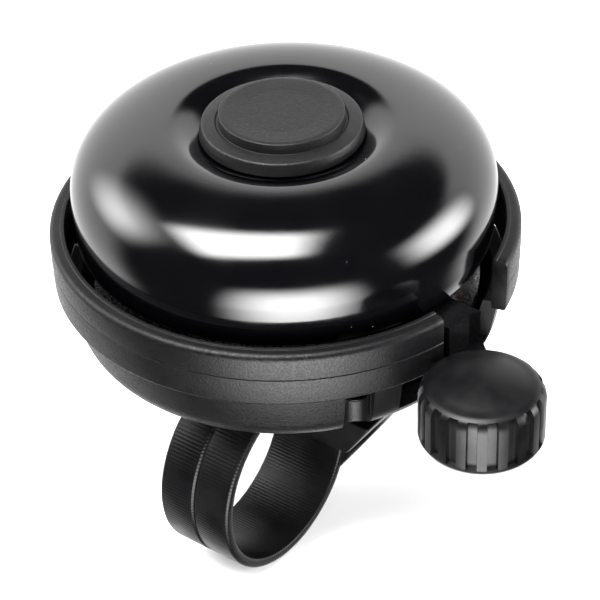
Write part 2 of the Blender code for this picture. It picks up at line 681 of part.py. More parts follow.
def make_lever():
    bore = arc(LEVER_PIN_R + RUNNING_GAP, 0.0, 342.0, 19)
    knob = (KNOB_X - LEVER_X, KNOB_Y - LEVER_Y)
    screw_hole = arc(KNOB_SCREW_R + FIT_GAP, 0.0, 330.0, 11, knob)
    low = GEAR_FLOOR_Z
    mesh = plate_mesh("lever", [lever_outline(), bore, screw_hole], low, low + LEVER_T)
    place = (LEVER_X, LEVER_Y, 0.0)
    lever = add_object("thumb_lever", mesh, place)
    thick = plate_mesh("block", [from_wall(LEVER_BLOCK)], low + LEVER_BLOCK_LIFT, LEVER_BLOCK_TOP_Z)
    combine(lever, add_object("block", thick, place), 'UNION')
    return finish(lever, SATIN_PLASTIC)


def make_lever_fixing():
    place = (LEVER_X, LEVER_Y, 0.0)
    hub_top = GEAR_FLOOR_Z + LEVER_T
    rivet = PLATE_TOP_Z - PLATE_T - FIT_GAP
    top = LEVER_PIN_TOP_Z
    profile = [(0.0, top), (LEVER_PIN_R, top), (LEVER_PIN_R, rivet), (LEVER_PIN_HEAD_R, rivet)]
    profile += [(LEVER_PIN_HEAD_R, rivet - RIVET_T), (0.0, rivet - RIVET_T)]
    finish(add_object("lever_pin", turned_mesh("pin", profile, 20), place), STEEL)
    clip_top = top - CLIP_SETBACK
    clip = tube_profile(LEVER_CLIP_R, LEVER_PIN_R + FIT_GAP, clip_top, clip_top - CLIP_T)
    finish(add_object("lever_clip", turned_mesh("clip", clip, 20, True), place), STEEL)
    low = hub_top + SPRING_WIRE_R + SPRING_SEAT_GAP
    steps = 26
    points = [(*SPRING_LEVER_LEG, low)]
    for step in range(steps + 1):
        share = step / steps
        x, y = polar(SPRING_COIL_R, SPRING_FROM + SPRING_TURN * share)
        points.append((x, y, low + SPRING_PITCH * SPRING_TURN / 360.0 * share))
    post = Vector(polar(CASE_PITCH_R, CASE_ANGLES[0])) - Vector(LEVER_AT)
    reach = post.length - CASE_POST_R - SPRING_WIRE_R - FIT_GAP
    points.append((*polar(reach, SPRING_BASE_BEARING), points[-1][2]))
    mesh = tube_mesh("spring", points, SPRING_WIRE_R)
    finish(add_object("return_spring", mesh, place), SPRING_STEEL)


def make_knob():
    edge = KNOB_EDGE_Z
    bottom = edge - KNOB_HEIGHT
    shoulder_r = KNOB_R - KNOB_EDGE_ROUND
    profile = [(0.0, edge + KNOB_CROWN), (shoulder_r / 2, edge + KNOB_CROWN * 0.75)]
    profile += arc(KNOB_EDGE_ROUND, 90.0, 0.0, 6, (shoulder_r, edge - KNOB_EDGE_ROUND))
    foot_z = bottom + KNOB_FOOT_ROUND
    profile += arc(KNOB_FOOT_ROUND, 0.0, -90.0, 3, (KNOB_R - KNOB_FOOT_ROUND, foot_z))
    profile += [(KNOB_HOLLOW_R, bottom)]
    profile += [(KNOB_HOLLOW_R, GEAR_FLOOR_Z - FIT_GAP), (0.0, GEAR_FLOOR_Z - FIT_GAP)]
    place = (KNOB_X, KNOB_Y, 0.0)
    knob = add_object("lever_knob", turned_mesh("knob", profile, 32), place)
    half = PAD_R + FIT_GAP
    slot = [(-half, -half), (12.0, -half - 0.6), (12.0, half + 2.4), (-half, half)]
    low = GEAR_FLOOR_Z - FIT_GAP - 0.4
    high = GEAR_FLOOR_Z + LEVER_T + FIT_GAP
    turn = bearing((KNOB_X, KNOB_Y), (RING_R - 0.5, LEVER_Y - 1.0))
    tool = add_object("slot", plate_mesh("slot", [slot], low, high), place, (0.0, 0.0, turn))
    combine(knob, tool, 'DIFFERENCE')
    cut_cylinder(knob, KNOB_SCREW_R + FIT_GAP, place, edge - KNOB_SCREW_ROOF, GEAR_FLOOR_Z, 12)
    finish(knob, GLOSS_PLASTIC)
    head_z = GEAR_FLOOR_Z - FIT_GAP
    screw_part("knob_screw", (KNOB_X, KNOB_Y, head_z), KNOB_SCREW_R, KNOB_SCREW_HEAD_R,
               KNOB_SCREW_HEAD_T, KNOB_SCREW_LENGTH, STEEL, (180.0, 0.0, 0.0))


def make_idler():
    place = (IDLER_AT.x, IDLER_AT.y, 0.0)
    half_pitch = 180.0 / IDLER_PINION_TEETH
    pinion_outline = gear_outline(IDLER_PINION_TEETH, SECTOR_BEARING + 180.0 + half_pitch)
    pinion = plate_mesh("pinion", [pinion_outline], GEAR_FLOOR_Z, WHEEL_Z[0] + 0.4)
    wheel_outline = gear_outline(IDLER_WHEEL_TEETH, IDLER_BEARING)
    idler = add_object("idler_gear", plate_mesh("wheel", [wheel_outline], *WHEEL_Z), place)
    combine(idler, add_object("pinion", pinion, place), 'UNION')
    cut_cylinder(idler, IDLER_PIN_R + RUNNING_GAP, place, 0.0, GEAR_FLOOR_Z - 1.0, 20)
    finish(idler, ACETAL)
    rivet = PLATE_TOP_Z - PLATE_T - FIT_GAP
    top = IDLER_PIN_TOP_Z
    profile = [(0.0, top), (IDLER_PIN_R, top), (IDLER_PIN_R, rivet), (IDLER_PIN_HEAD_R, rivet)]
    profile += [(IDLER_PIN_HEAD_R, rivet - RIVET_T), (0.0, rivet - RIVET_T)]
    finish(add_object("idler_pin", turned_mesh("pin", profile, 20), place), STEEL)
    clip_top = top - CLIP_SETBACK
    clip = tube_profile(IDLER_CLIP_R, IDLER_PIN_R + FIT_GAP, clip_top, clip_top - CLIP_T)
    finish(add_object("idler_clip", turned_mesh("clip", clip, 20, True), place), STEEL)


def make_rotor():
    half_pitch = 180.0 / ROTOR_TEETH
    outline = gear_outline(ROTOR_TEETH, IDLER_BEARING + 180.0 + half_pitch)
    pinion = add_object("rotor_pinion", plate_mesh("rotor", [outline], *ROTOR_PINION_Z))
    collar_top = POST_SHOULDER_Z - 0.2
    collar = turned_mesh("collar", rod_profile(ROTOR_COLLAR_R, collar_top, -3.4), 24)
    combine(pinion, add_object("collar", collar), 'UNION')
    cut_cylinder(pinion, POST_R + RUNNING_GAP, (0.0, 0.0, 0.0), 3.0, -8.0, 32)
    finish(pinion, BRASS)
    make_arm()
    for number, side in enumerate((0.0, 180.0), start=1):
        make_clapper(number, ROTOR_REST_ANGLE + side)


def make_arm():
    """A long plate with round ends and a wider middle."""
    half = []
    half += arc(ARM_MIDDLE_R, -60.0, -40.0, 2)
    half += arc(ARM_END_R, -90.0, 90.0, 10, (ARM_REACH, 0.0))
    half += arc(ARM_MIDDLE_R, 40.0, 60.0, 2)
    outline = half + [(-x, -y) for x, y in half]
    holes = [arc(ROTOR_COLLAR_R + 0.1, 0.0, 345.0, 23)]
    for side in (-1.0, 1.0):
        holes.append(arc(CLAPPER_PIN_R + 0.1, 0.0, 337.5, 15, (side * ARM_REACH, 0.0)))
    mesh = plate_mesh("arm", [outline] + holes, *ARM_Z)
    finish(add_object("rotor_arm", mesh, (0, 0, 0), (0.0, 0.0, ROTOR_REST_ANGLE)), ZINC)


def make_clapper(number, angle):
    x, y = polar(ARM_REACH, angle)
    disc_low = ARM_Z[1] + FIT_GAP
    disc_high = disc_low + DISC_T
    head_low = disc_high + FIT_GAP
    head_top = head_low + CLAPPER_HEAD_T
    profile = [(0.0, head_top), (CLAPPER_HEAD_R - CLAPPER_HEAD_T, head_top)]
    profile += [(CLAPPER_HEAD_R, head_low + DISC_EDGE), (CLAPPER_HEAD_R, head_low)]
    profile += [(CLAPPER_PIN_R, head_low), (CLAPPER_PIN_R, ARM_Z[0] + 0.1)]
    profile += [(0.0, ARM_Z[0] + 0.1)]
    pin = turned_mesh("pin", profile, 20)
    finish(add_object(f"clapper_pin_{number}", pin, (x, y, 0.0)), STEEL)
    edge_r = DISC_R - DISC_EDGE
    ring = [(edge_r, disc_high), (DISC_R, disc_high - DISC_EDGE), (DISC_R, disc_low + DISC_EDGE)]
    ring += [(edge_r, disc_low), (DISC_HOLE_R, disc_low), (DISC_HOLE_R, disc_high)]
    disc = turned_mesh("disc", ring, 24, True)
    finish(add_object(f"clapper_disc_{number}", disc, (x, y, 0.0)), STEEL)


def saddle_outline():
    """Seen along the bar, from its free side over the top to its strap side."""
    top_angle = math.degrees(math.acos(SADDLE_LEFT_Y / SADDLE_R))
    points = arc(SADDLE_R, SADDLE_SIDE_FROM, top_angle, 20)
    points += [(SADDLE_LEFT_Y, SADDLE_TOP_Z), (SADDLE_RIGHT_Y, SADDLE_TOP_Z)]
    points += [(SADDLE_RIGHT_Y + 1.4, SADDLE_TOP_Z - SADDLE_RISE + 0.2)]
    points += arc(SADDLE_BACK_R, 28.0, SADDLE_SIDE_FROM, 9)
    return points


def strap_outline():
    outer = arc(BAR_R + STRAP_T, STRAP_FIXED_END, STRAP_FREE_END - 360.0, 44)
    inner = arc(BAR_R, STRAP_FREE_END - 360.0, STRAP_FIXED_END, 44)
    return outer + inner


def along_bar(name, outline, x_low, x_high):
    """An outline of (y, z) about the bar, extruded along it."""
    mesh = plate_mesh(name, [outline], x_low, x_high)
    turn = Matrix(((0, 0, 1, 0), (1, 0, 0, 0), (0, 1, 0, 0), (0, 0, 0, 1)))
    mesh.transform(turn)
    return add_object(name, mesh, of_bell=False)


def make_clamp():
    near_x = SADDLE_EDGE_X + SADDLE_EDGE_SLOPE * SADDLE_TOP_Z
    strap = along_bar("clamp_strap", saddle_outline(), SADDLE_FAR_X, near_x + 1.0)
    slope = [(SADDLE_EDGE_X - 30 * SADDLE_EDGE_SLOPE, -30.0), (60.0, -30.0), (60.0, 25.0)]
    slope += [(SADDLE_EDGE_X + 25 * SADDLE_EDGE_SLOPE, 25.0)]
    mesh = plate_mesh("slope", [slope], -30.0, 30.0)
    mesh.transform(Matrix(((1, 0, 0, 0), (0, 0, 1, 0), (0, 1, 0, 0), (0, 0, 0, 1))))
    mesh.flip_normals()
    combine(strap, add_object("slope", mesh, of_bell=False), 'DIFFERENCE')
    band = along_bar("band", strap_outline(), -STRAP_W / 2, STRAP_W / 2)
    combine(strap, band, 'UNION')
    end_y, end_z = polar(BAR_R + STRAP_T / 2, STRAP_FREE_END)
    tab_face_y = end_y - 0.8
    tab_top = SADDLE_TOP_Z - 0.4
    tab = [(tab_face_y, end_z - 0.2), (tab_face_y + TAB_T, end_z - 0.2)]
    tab += [(tab_face_y + TAB_T, tab_top), (tab_face_y, tab_top)]
    half = STRAP_W / 2 - TAB_SIDE_GAP
    combine(strap, along_bar("tab", tab, -half, half), 'UNION')
    place = (0.0, 0.0, CLAMP_SCREW_Z)
    cut_cylinder(strap, CLAMP_SCREW_R + FIT_GAP, place, 12.0, -4.2, 16, False, (90.0, 0.0, 0.0))
    for x in SADDLE_SCREW_XS:
        cut_cylinder(strap, CLAMP_SCREW_R + FIT_GAP, (x, SADDLE_SCREW_Y, 0.0), SADDLE_TOP_Z + 3.0,
                     SADDLE_TOP_Z - SADDLE_SCREW_BITE - 0.4, 12, False)
    finish(strap, NYLON)
    head_y = tab_face_y - FIT_GAP
    screw_part("clamp_screw", (0.0, head_y, CLAMP_SCREW_Z), CLAMP_SCREW_R, CLAMP_SCREW_HEAD_R,
               CLAMP_SCREW_HEAD_T, CLAMP_SCREW_LENGTH, STEEL, (90.0, 0.0, 0.0), False)
    floor_z = BOWL_FLOOR_Z + FIT_GAP + RING_TOP_Z
    for number, x in enumerate(SADDLE_SCREW_XS, start=1):
        screw_part(f"saddle_screw_{number}", (x, SADDLE_SCREW_Y, floor_z), CLAMP_SCREW_R,
                   SADDLE_SCREW_HEAD_R, SADDLE_SCREW_HEAD_T,
                   floor_z - SADDLE_TOP_Z + SADDLE_SCREW_BITE, STEEL, (0, 0, 0), False)


clear_scene()
PARTS = new_collection("bicycle_bell")
CUTTERS = new_collection("cutters")
GLOSS_BLACK = material("black enamelled aluminium", (0.008, 0.008, 0.009), 0.08, 0.6)
GRAINED_PLASTIC = material("grained black plastic", (0.03, 0.03, 0.032), 0.5, 0.0)
SATIN_PLASTIC = material("satin black plastic", (0.015, 0.015, 0.016), 0.35, 0.0)
GLOSS_PLASTIC = material("glossy black plastic", (0.02, 0.02, 0.021), 0.2, 0.0)
NYLON = material("black nylon", (0.014, 0.014, 0.015), 0.42, 0.0)
ACETAL = material("white acetal", (0.78, 0.77, 0.72), 0.35, 0.0)
STEEL = material("plated steel", (0.55, 0.55, 0.56), 0.3, 1.0)
BLACK_STEEL = material("blackened steel", (0.03, 0.03, 0.03), 0.4, 1.0)
SPRING_STEEL = material("spring steel", (0.4, 0.4, 0.42), 0.25, 1.0)
ZINC = material("zinc plated sheet", (0.62, 0.62, 0.6), 0.35, 1.0)
BRASS = material("brass", (0.6, 0.45, 0.2), 0.3, 1.0)

make_gong()
make_studs()
make_cap()
make_gong_fixing()
make_post()
make_plate()
make_ring()
make_bowl()
make_case_screws()
make_lever()
make_lever_fixing()
make_knob()
make_idler()
make_rotor()
make_clamp()
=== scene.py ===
# %% [markdown]
# # A rotary bicycle bell
#
# This lesson dresses a bicycle bell for a studio picture. The working parts
# come from a CAD model that never moves: it is the frame. The pieces that
# show are either given a finish in place or rebuilt here with finer shapes,
# and each rebuilt piece rides on the body of the part that it stands for.
#
# Sizes are millimetres until the moment a mesh is made, because that is how a
# bell is measured. Heights are counted from the top edge of the base ring,
# and distances from the bell's own upright axis.

# %% Load the frame
import math

import bmesh
import bpy
from mathutils import Matrix, Vector


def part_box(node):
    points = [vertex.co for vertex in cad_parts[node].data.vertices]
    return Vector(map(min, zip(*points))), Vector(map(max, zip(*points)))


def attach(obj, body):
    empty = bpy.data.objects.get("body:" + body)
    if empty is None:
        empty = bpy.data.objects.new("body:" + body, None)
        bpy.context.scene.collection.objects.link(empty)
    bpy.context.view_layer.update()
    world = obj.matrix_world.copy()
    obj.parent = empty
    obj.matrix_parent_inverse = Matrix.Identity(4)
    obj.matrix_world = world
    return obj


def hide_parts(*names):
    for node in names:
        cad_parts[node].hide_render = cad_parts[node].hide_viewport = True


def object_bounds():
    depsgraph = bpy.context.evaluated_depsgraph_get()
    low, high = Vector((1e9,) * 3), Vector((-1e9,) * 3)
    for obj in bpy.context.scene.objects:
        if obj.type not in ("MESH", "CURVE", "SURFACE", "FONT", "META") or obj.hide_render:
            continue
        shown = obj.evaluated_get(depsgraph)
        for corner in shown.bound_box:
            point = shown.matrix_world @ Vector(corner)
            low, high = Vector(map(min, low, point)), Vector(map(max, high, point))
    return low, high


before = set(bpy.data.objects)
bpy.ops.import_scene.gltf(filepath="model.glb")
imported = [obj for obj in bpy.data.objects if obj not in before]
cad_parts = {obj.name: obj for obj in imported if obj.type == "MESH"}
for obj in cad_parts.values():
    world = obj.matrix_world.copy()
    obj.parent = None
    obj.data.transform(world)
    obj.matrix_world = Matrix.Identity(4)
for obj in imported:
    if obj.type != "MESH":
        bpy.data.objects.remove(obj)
cad_low, cad_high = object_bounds()
MM = 0.001
print("CAD box, mm:", [round(side / MM, 1) for side in cad_high - cad_low])

# %% [markdown]
# ## Where things stand
#
# Every place is read from the frame's own boxes, so nothing has to be fitted
# by eye. The gong is round, so the middle of its box is the bell's axis. The
# ring's box ends at its top edge, which is height zero here.

# %% Read the frame's places
def box_mm(node):
    low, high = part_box(node)
    return low / MM, high / MM


def half_width(node):
    """Half a node's size along X, which is the radius of a round node."""
    low, high = box_mm(node)
    return (high.x - low.x) / 2


ORIGIN = Vector((0, 0, 0))
gong_low, gong_high = box_mm("gong")
ring_low, ring_high = box_mm("base_ring")
bell_axis = Vector((*((gong_low + gong_high) / 2).xy, ring_high.z))
print("bell axis and ring top, mm:", [round(value, 2) for value in bell_axis])


def from_axis(node):
    """The middle of a node's box, seen from the bell's axis."""
    low, high = box_mm(node)
    return (low + high) / 2 - bell_axis


def heights(node):
    """Lowest and highest height of a node above the ring's top edge."""
    low, high = box_mm(node)
    return low.z - bell_axis.z, high.z - bell_axis.z


# %% [markdown]
# ## Helpers for shapes
#
# Most of the bell is turned or moulded round an axis, so most pieces are a
# profile swept round it. A short outline with a rounding radius at each
# corner is easy to read and to change, and the small radii matter: real edges
# are never sharp, and it is the rounding that catches the light.

# %% Round the corners of an outline
def rounded(corners, steps=5):
    """Corners are (x, y, radius). Each becomes an arc that meets both sides."""
    points = []
    for number, (x, y, radius) in enumerate(corners):
        corner = Vector((x, y))
        if radius <= 0:
            points.append(corner)
            continue
        before = (Vector(corners[number - 1][:2]) - corner).normalized()
        after = (Vector(corners[(number + 1) % len(corners)][:2]) - corner).normalized()
        half = before.angle(after) / 2
        middle = corner + (before + after).normalized() * radius / math.sin(half)
        start = corner + before * radius / math.tan(half) - middle
        turn = start.angle_signed(corner + after * radius / math.tan(half) - middle)
        for step in range(steps + 1):
            arm = start.copy()
            arm.rotate(Matrix.Rotation(-turn * step / steps, 2))
            points.append(middle + arm)
    return points


def around(radius, degrees):
    """A point at that radius and bearing."""
    return Vector((radius * math.cos(math.radians(degrees)),
                   radius * math.sin(math.radians(degrees))))


# %% Simple outlines
def circle(radius, steps=24):
    """An outline of points at one distance from the middle."""
    return [around(radius, 360 * step / steps) for step in range(steps)]


def oblong(left, near, right, far):
    """The four corners of an upright box, seen from above."""
    return [(left, near), (right, near), (right, far), (left, far)]


def rod(radius, low, high):
    """A profile that turns into a plain cylinder."""
    return [(0.0, high), (radius, high), (radius, low), (0.0, low)]


def swung(corners, degrees):
    """Corners turned anticlockwise about the middle, seen from above."""
    points = [Vector(corner) for corner in corners]
    for point in points:
        point.rotate(Matrix.Rotation(math.radians(degrees), 2))
    return points


# %% Faces of a swept shape
def strips(stations, rows, whole=True, loop=True):
    """Faces between stations of points. A whole sweep joins the last to the first."""
    faces = []
    for station in range(stations if whole else stations - 1):
        here = station * rows
        there = (station + 1) % stations * rows
        for row in range(rows if loop else rows - 1):
            after = (row + 1) % rows
            faces.append((here + row, here + after, there + after, there + row))
    return faces


def end_faces(stations, rows):
    """The two flat faces that close a sweep that does not meet itself."""
    return [tuple(range(rows)), tuple(range((stations - 1) * rows, stations * rows))]


# %% Make an object from points and faces
def build(name, points, faces, place=bell_axis, crease=35.0):
    """Points in mm from place become a smooth mesh with creases kept sharp."""
    mesh = bpy.data.meshes.new(name)
    mesh.from_pydata([(Vector(point) + place) * MM for point in points], [], faces)
    shape = bmesh.new()
    shape.from_mesh(mesh)
    bmesh.ops.remove_doubles(shape, verts=shape.verts, dist=1e-7)
    bmesh.ops.recalc_face_normals(shape, faces=shape.faces)
    shape.to_mesh(mesh)
    shape.free()
    piece = bpy.data.objects.new(name, mesh)
    bpy.context.scene.collection.objects.link(piece)
    smooth(mesh, crease)
    return piece


def smooth(mesh, crease=35.0):
    for face in mesh.polygons:
        face.use_smooth = True
    mesh.set_sharp_from_angle(angle=math.radians(crease))


# %% Turn a profile round an upright axis
def turned(name, profile, steps, place=bell_axis, start=0.0, stop=360.0, crease=35.0):
    """Profile points are (radius, height). A part turn is closed with end faces."""
    whole = abs(stop - start) >= 360.0
    stations = steps if whole else steps + 1
    points = []
    for station in range(stations):
        bearing = start + (stop - start) * station / steps
        points += [(*around(radius, bearing), height) for radius, height in profile]
    faces = strips(stations, len(profile), whole)
    if not whole:
        faces += end_faces(stations, len(profile))
    return build(name, points, faces, place, crease)


# %% Push an outline upwards
def extruded(name, outline, low, high, place=bell_axis):
    """Outline points are (x, y). The shape stands between two heights."""
    points = [(x, y, low) for x, y in outline] + [(x, y, high) for x, y in outline]
    faces = end_faces(2, len(outline)) + strips(2, len(outline), whole=False)
    return build(name, points, faces, place)


# %% Bake modifiers and join or cut shapes
def baked(piece, crease=35.0):
    """Replaces a piece's mesh with what its modifiers make of it."""
    graph = bpy.context.evaluated_depsgraph_get()
    mesh = bpy.data.meshes.new_from_object(piece.evaluated_get(graph))
    piece.modifiers.clear()
    piece.data = mesh
    smooth(mesh, crease)
    return piece


def combined(piece, tool, operation, crease=35.0):
    """Cuts with, or joins, another closed shape, which is used up."""
    boolean = piece.modifiers.new("combine", "BOOLEAN")
    boolean.object = tool
    boolean.operation = operation
    boolean.solver = "EXACT"
    baked(piece, crease)
    bpy.data.objects.remove(tool)
    return piece


def edges_eased(piece, width, segments=3, angle=40.0):
    """Rounds every sharp edge by a small width."""
    bevel = piece.modifiers.new("eased edges", "BEVEL")
    bevel.width = width * MM
    bevel.segments = segments
    bevel.angle_limit = math.radians(angle)
    return baked(piece)


def placed(piece, body, slot, finish, *stands_for):
    """Gives a new piece its finish, hangs it on its body and hides the parts that it stands for.
    """
    piece.data.materials.clear()
    piece.data.materials.append(finish)
    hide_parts(*stands_for)
    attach(piece, body)
    size = [round(side / MM, 1) for side in piece.dimensions]
    print(f"{piece.name}: {len(piece.data.polygons)} faces, {size} mm")
    return piece


# %% [markdown]
# ## Helpers for finishes
#
# Each finish is one Principled shader with a few texture nodes around it. The
# colours are written as sRGB hex, as a paint card gives them, and one function
# turns them to the linear values that the shader wants.

# %% Colours and nodes
def linear(hex_colour):
    """An sRGB hex colour as linear red, green, blue and full alpha."""
    parts = [int(hex_colour[at:at + 2], 16) / 255 for at in (1, 3, 5)]
    return [part / 12.92 if part <= 0.04045 else ((part + 0.055) / 1.055) ** 2.4
            for part in parts] + [1.0]


def add_node(tree, kind, settings=None, inputs=None):
    """One node with its settings; an input is a value or another node's output."""
    node = tree.nodes.new(kind)
    for name, value in (settings or {}).items():
        setattr(node, name, value)
    for socket, value in (inputs or {}).items():
        if isinstance(value, bpy.types.NodeSocket):
            tree.links.new(value, node.inputs[socket])
        else:
            node.inputs[socket].default_value = value
    return node


def new_finish(name, colour, metallic, roughness, **more):
    """A material with one Principled shader, and its tree, shader and place output.

    The plain colour and roughness hold wherever no pattern takes their place.
    """
    finish = bpy.data.materials.new(name)
    finish.use_nodes = True
    tree = finish.node_tree
    shader = tree.nodes["Principled BSDF"]
    shader.inputs["Base Color"].default_value = linear(colour)
    shader.inputs["Metallic"].default_value = metallic
    shader.inputs["Roughness"].default_value = roughness
    for name, value in more.items():
        shader.inputs[name.replace("_", " ")].default_value = value
    place = add_node(tree, "ShaderNodeTexCoord").outputs["Object"]
    return finish, tree, shader, place


def per_mm(size):
    """Texture scale that makes one feature that many millimetres wide."""
    return 1.0 / (size * MM)


# %% Spread a value over the surface
def spread(tree, value, low, high, start=0.3, stop=0.7):
    """Maps a pattern's value from start..stop to low..high."""
    return add_node(tree, "ShaderNodeMapRange", {"interpolation_type": "SMOOTHSTEP"},
                    {"Value": value, "From Min": start, "From Max": stop,
                     "To Min": low, "To Max": high}).outputs["Result"]


# %% [markdown]
# ## Gloss black enamel
#
# The gong is spun from sheet metal and sprayed with a stoved black enamel. To
# the eye it is a mirror over black: no colour of its own, hard highlights with
# a slightly restless edge, because sprayed paint dries with a faint orange
# peel. Dust specks and wiped smudges tell the eye that it is a real surface.

# %% Finish: stoved black enamel
def stoved_enamel():
    finish, tree, shader, place = new_finish("stoved black enamel", "#020203", 0.0, 0.07,
                                             IOR=1.5)
    smudges = add_node(tree, "ShaderNodeTexNoise", {},
                       {"Vector": place, "Scale": per_mm(9.0), "Detail": 4.0})
    specks = add_node(tree, "ShaderNodeTexVoronoi", {}, {"Vector": place, "Scale": per_mm(2.6)})
    speck = spread(tree, specks.outputs["Distance"], 1.0, 0.0, 0.02, 0.035)
    lint = add_node(tree, "ShaderNodeTexNoise", {}, {"Vector": place, "Scale": per_mm(6.0)})
    patchy = spread(tree, lint.outputs["Fac"], 0.0, 1.0, 0.5, 0.6)
    dust = add_node(tree, "ShaderNodeMath", {"operation": "MULTIPLY"}, {0: speck, 1: patchy})
    shade = add_node(tree, "ShaderNodeMix", {"data_type": "RGBA"},
                     {"Factor": dust.outputs[0], 6: linear("#020203"), 7: linear("#8c8c8c")})
    tree.links.new(shade.outputs[2], shader.inputs["Base Color"])
    gloss = spread(tree, smudges.outputs["Fac"], 0.09, 0.16)
    tree.links.new(gloss, shader.inputs["Roughness"])
    peel = add_node(tree, "ShaderNodeTexNoise", {},
                    {"Vector": place, "Scale": per_mm(0.9), "Detail": 2.0})
    bump = add_node(tree, "ShaderNodeBump", {},
                    {"Height": peel.outputs["Fac"], "Strength": 0.12, "Distance": 0.02 * MM})
    tree.links.new(bump.outputs["Normal"], shader.inputs["Normal"])
    return finish


ENAMEL = stoved_enamel()

# %% [markdown]
# ## Grained black plastic
#
# The cap, the ring and the bowl are moulded in black ABS from a mould with a
# spark-eroded surface, which leaves a fine grain. The grain breaks the
# highlights into a sparkle and lifts the black to a dark grey. A grain of a
# quarter of a millimetre is drawn here, a little coarser than the real one so
# that it still shows. Soot-black plastic mirrors less than clear plastic does,
# so its mirror share is turned down. The lever's mould is smoother, so its
# grain is half as deep.

# %% Finish: spark-eroded ABS
def grained_abs(name, colour, worn, roughness, depth, sheen):
    finish, tree, shader, place = new_finish(name, colour, 0.0, roughness, IOR=1.53,
                                             Specular_IOR_Level=sheen)
    grain = add_node(tree, "ShaderNodeTexNoise", {},
                     {"Vector": place, "Scale": per_mm(0.26), "Detail": 3.0, "Roughness": 0.6})
    flow = add_node(tree, "ShaderNodeTexNoise", {},
                    {"Vector": place, "Scale": per_mm(7.0), "Detail": 5.0})
    scuff = spread(tree, flow.outputs["Fac"], 0.0, 0.55, 0.45, 0.75)
    shade = add_node(tree, "ShaderNodeMix", {"data_type": "RGBA"},
                     {"Factor": scuff, 6: linear(colour), 7: linear(worn)})
    tree.links.new(shade.outputs[2], shader.inputs["Base Color"])
    gloss = spread(tree, grain.outputs["Fac"], roughness - 0.08, roughness + 0.12)
    tree.links.new(gloss, shader.inputs["Roughness"])
    bump = add_node(tree, "ShaderNodeBump", {},
                    {"Height": grain.outputs["Fac"], "Strength": depth, "Distance": 0.06 * MM})
    tree.links.new(bump.outputs["Normal"], shader.inputs["Normal"])
    return finish


RING_ABS = grained_abs("grained ABS of the base", "#070708", "#101011", 0.38, 0.6, 0.14)
CAP_ABS = grained_abs("grained ABS of the cap", "#0c0c0d", "#161617", 0.44, 0.6, 0.2)
LEVER_ABS = grained_abs("satin ABS of the lever", "#040405", "#09090a", 0.32, 0.3, 0.07)

# %% [markdown]
# ## Polished black plastic
#
# The knob's mould is polished but thumbs have dulled it, so its crown is satin:
# one broad soft sheen, with faint rubbed patches where a light is mirrored.

# %% Finish: polished ABS
def polished_abs():
    finish, tree, shader, place = new_finish("polished black ABS", "#020203", 0.0, 0.36, IOR=1.53,
                                             Specular_IOR_Level=0.17)
    rubbed = add_node(tree, "ShaderNodeTexNoise", {},
                      {"Vector": place, "Scale": per_mm(2.5), "Detail": 6.0, "Roughness": 0.65})
    gloss = spread(tree, rubbed.outputs["Fac"], 0.34, 0.42)
    tree.links.new(gloss, shader.inputs["Roughness"])
    shade = add_node(tree, "ShaderNodeMix", {"data_type": "RGBA"},
                     {"Factor": spread(tree, rubbed.outputs["Fac"], 0.0, 0.5),
                      6: linear("#030304"), 7: linear("#080809")})
    tree.links.new(shade.outputs[2], shader.inputs["Base Color"])
    fine = add_node(tree, "ShaderNodeTexNoise", {},
                    {"Vector": place, "Scale": per_mm(0.35), "Detail": 2.0})
    bump = add_node(tree, "ShaderNodeBump", {},
                    {"Height": fine.outputs["Fac"], "Strength": 0.15, "Distance": 0.02 * MM})
    tree.links.new(bump.outputs["Normal"], shader.inputs["Normal"])
    return finish


KNOB_ABS = polished_abs()

# %% [markdown]
# ## Black nylon with cross ribs
#
# The clamp is moulded in glass-filled nylon, tough enough to bend round a bar.
# The mould's strap cavity is ribbed across so that the strap grips, and the
# ribs show as fine lines all the way round. Their bearing about the bar is
# worked out from the surface's own place, so the lines always cross the strap.

# %% Finish: ribbed nylon
BAR_R = 11.3
RIB_PITCH = 0.42
RIBS_WHOLE_R = 12.6
RIBS_GONE_R = 12.9


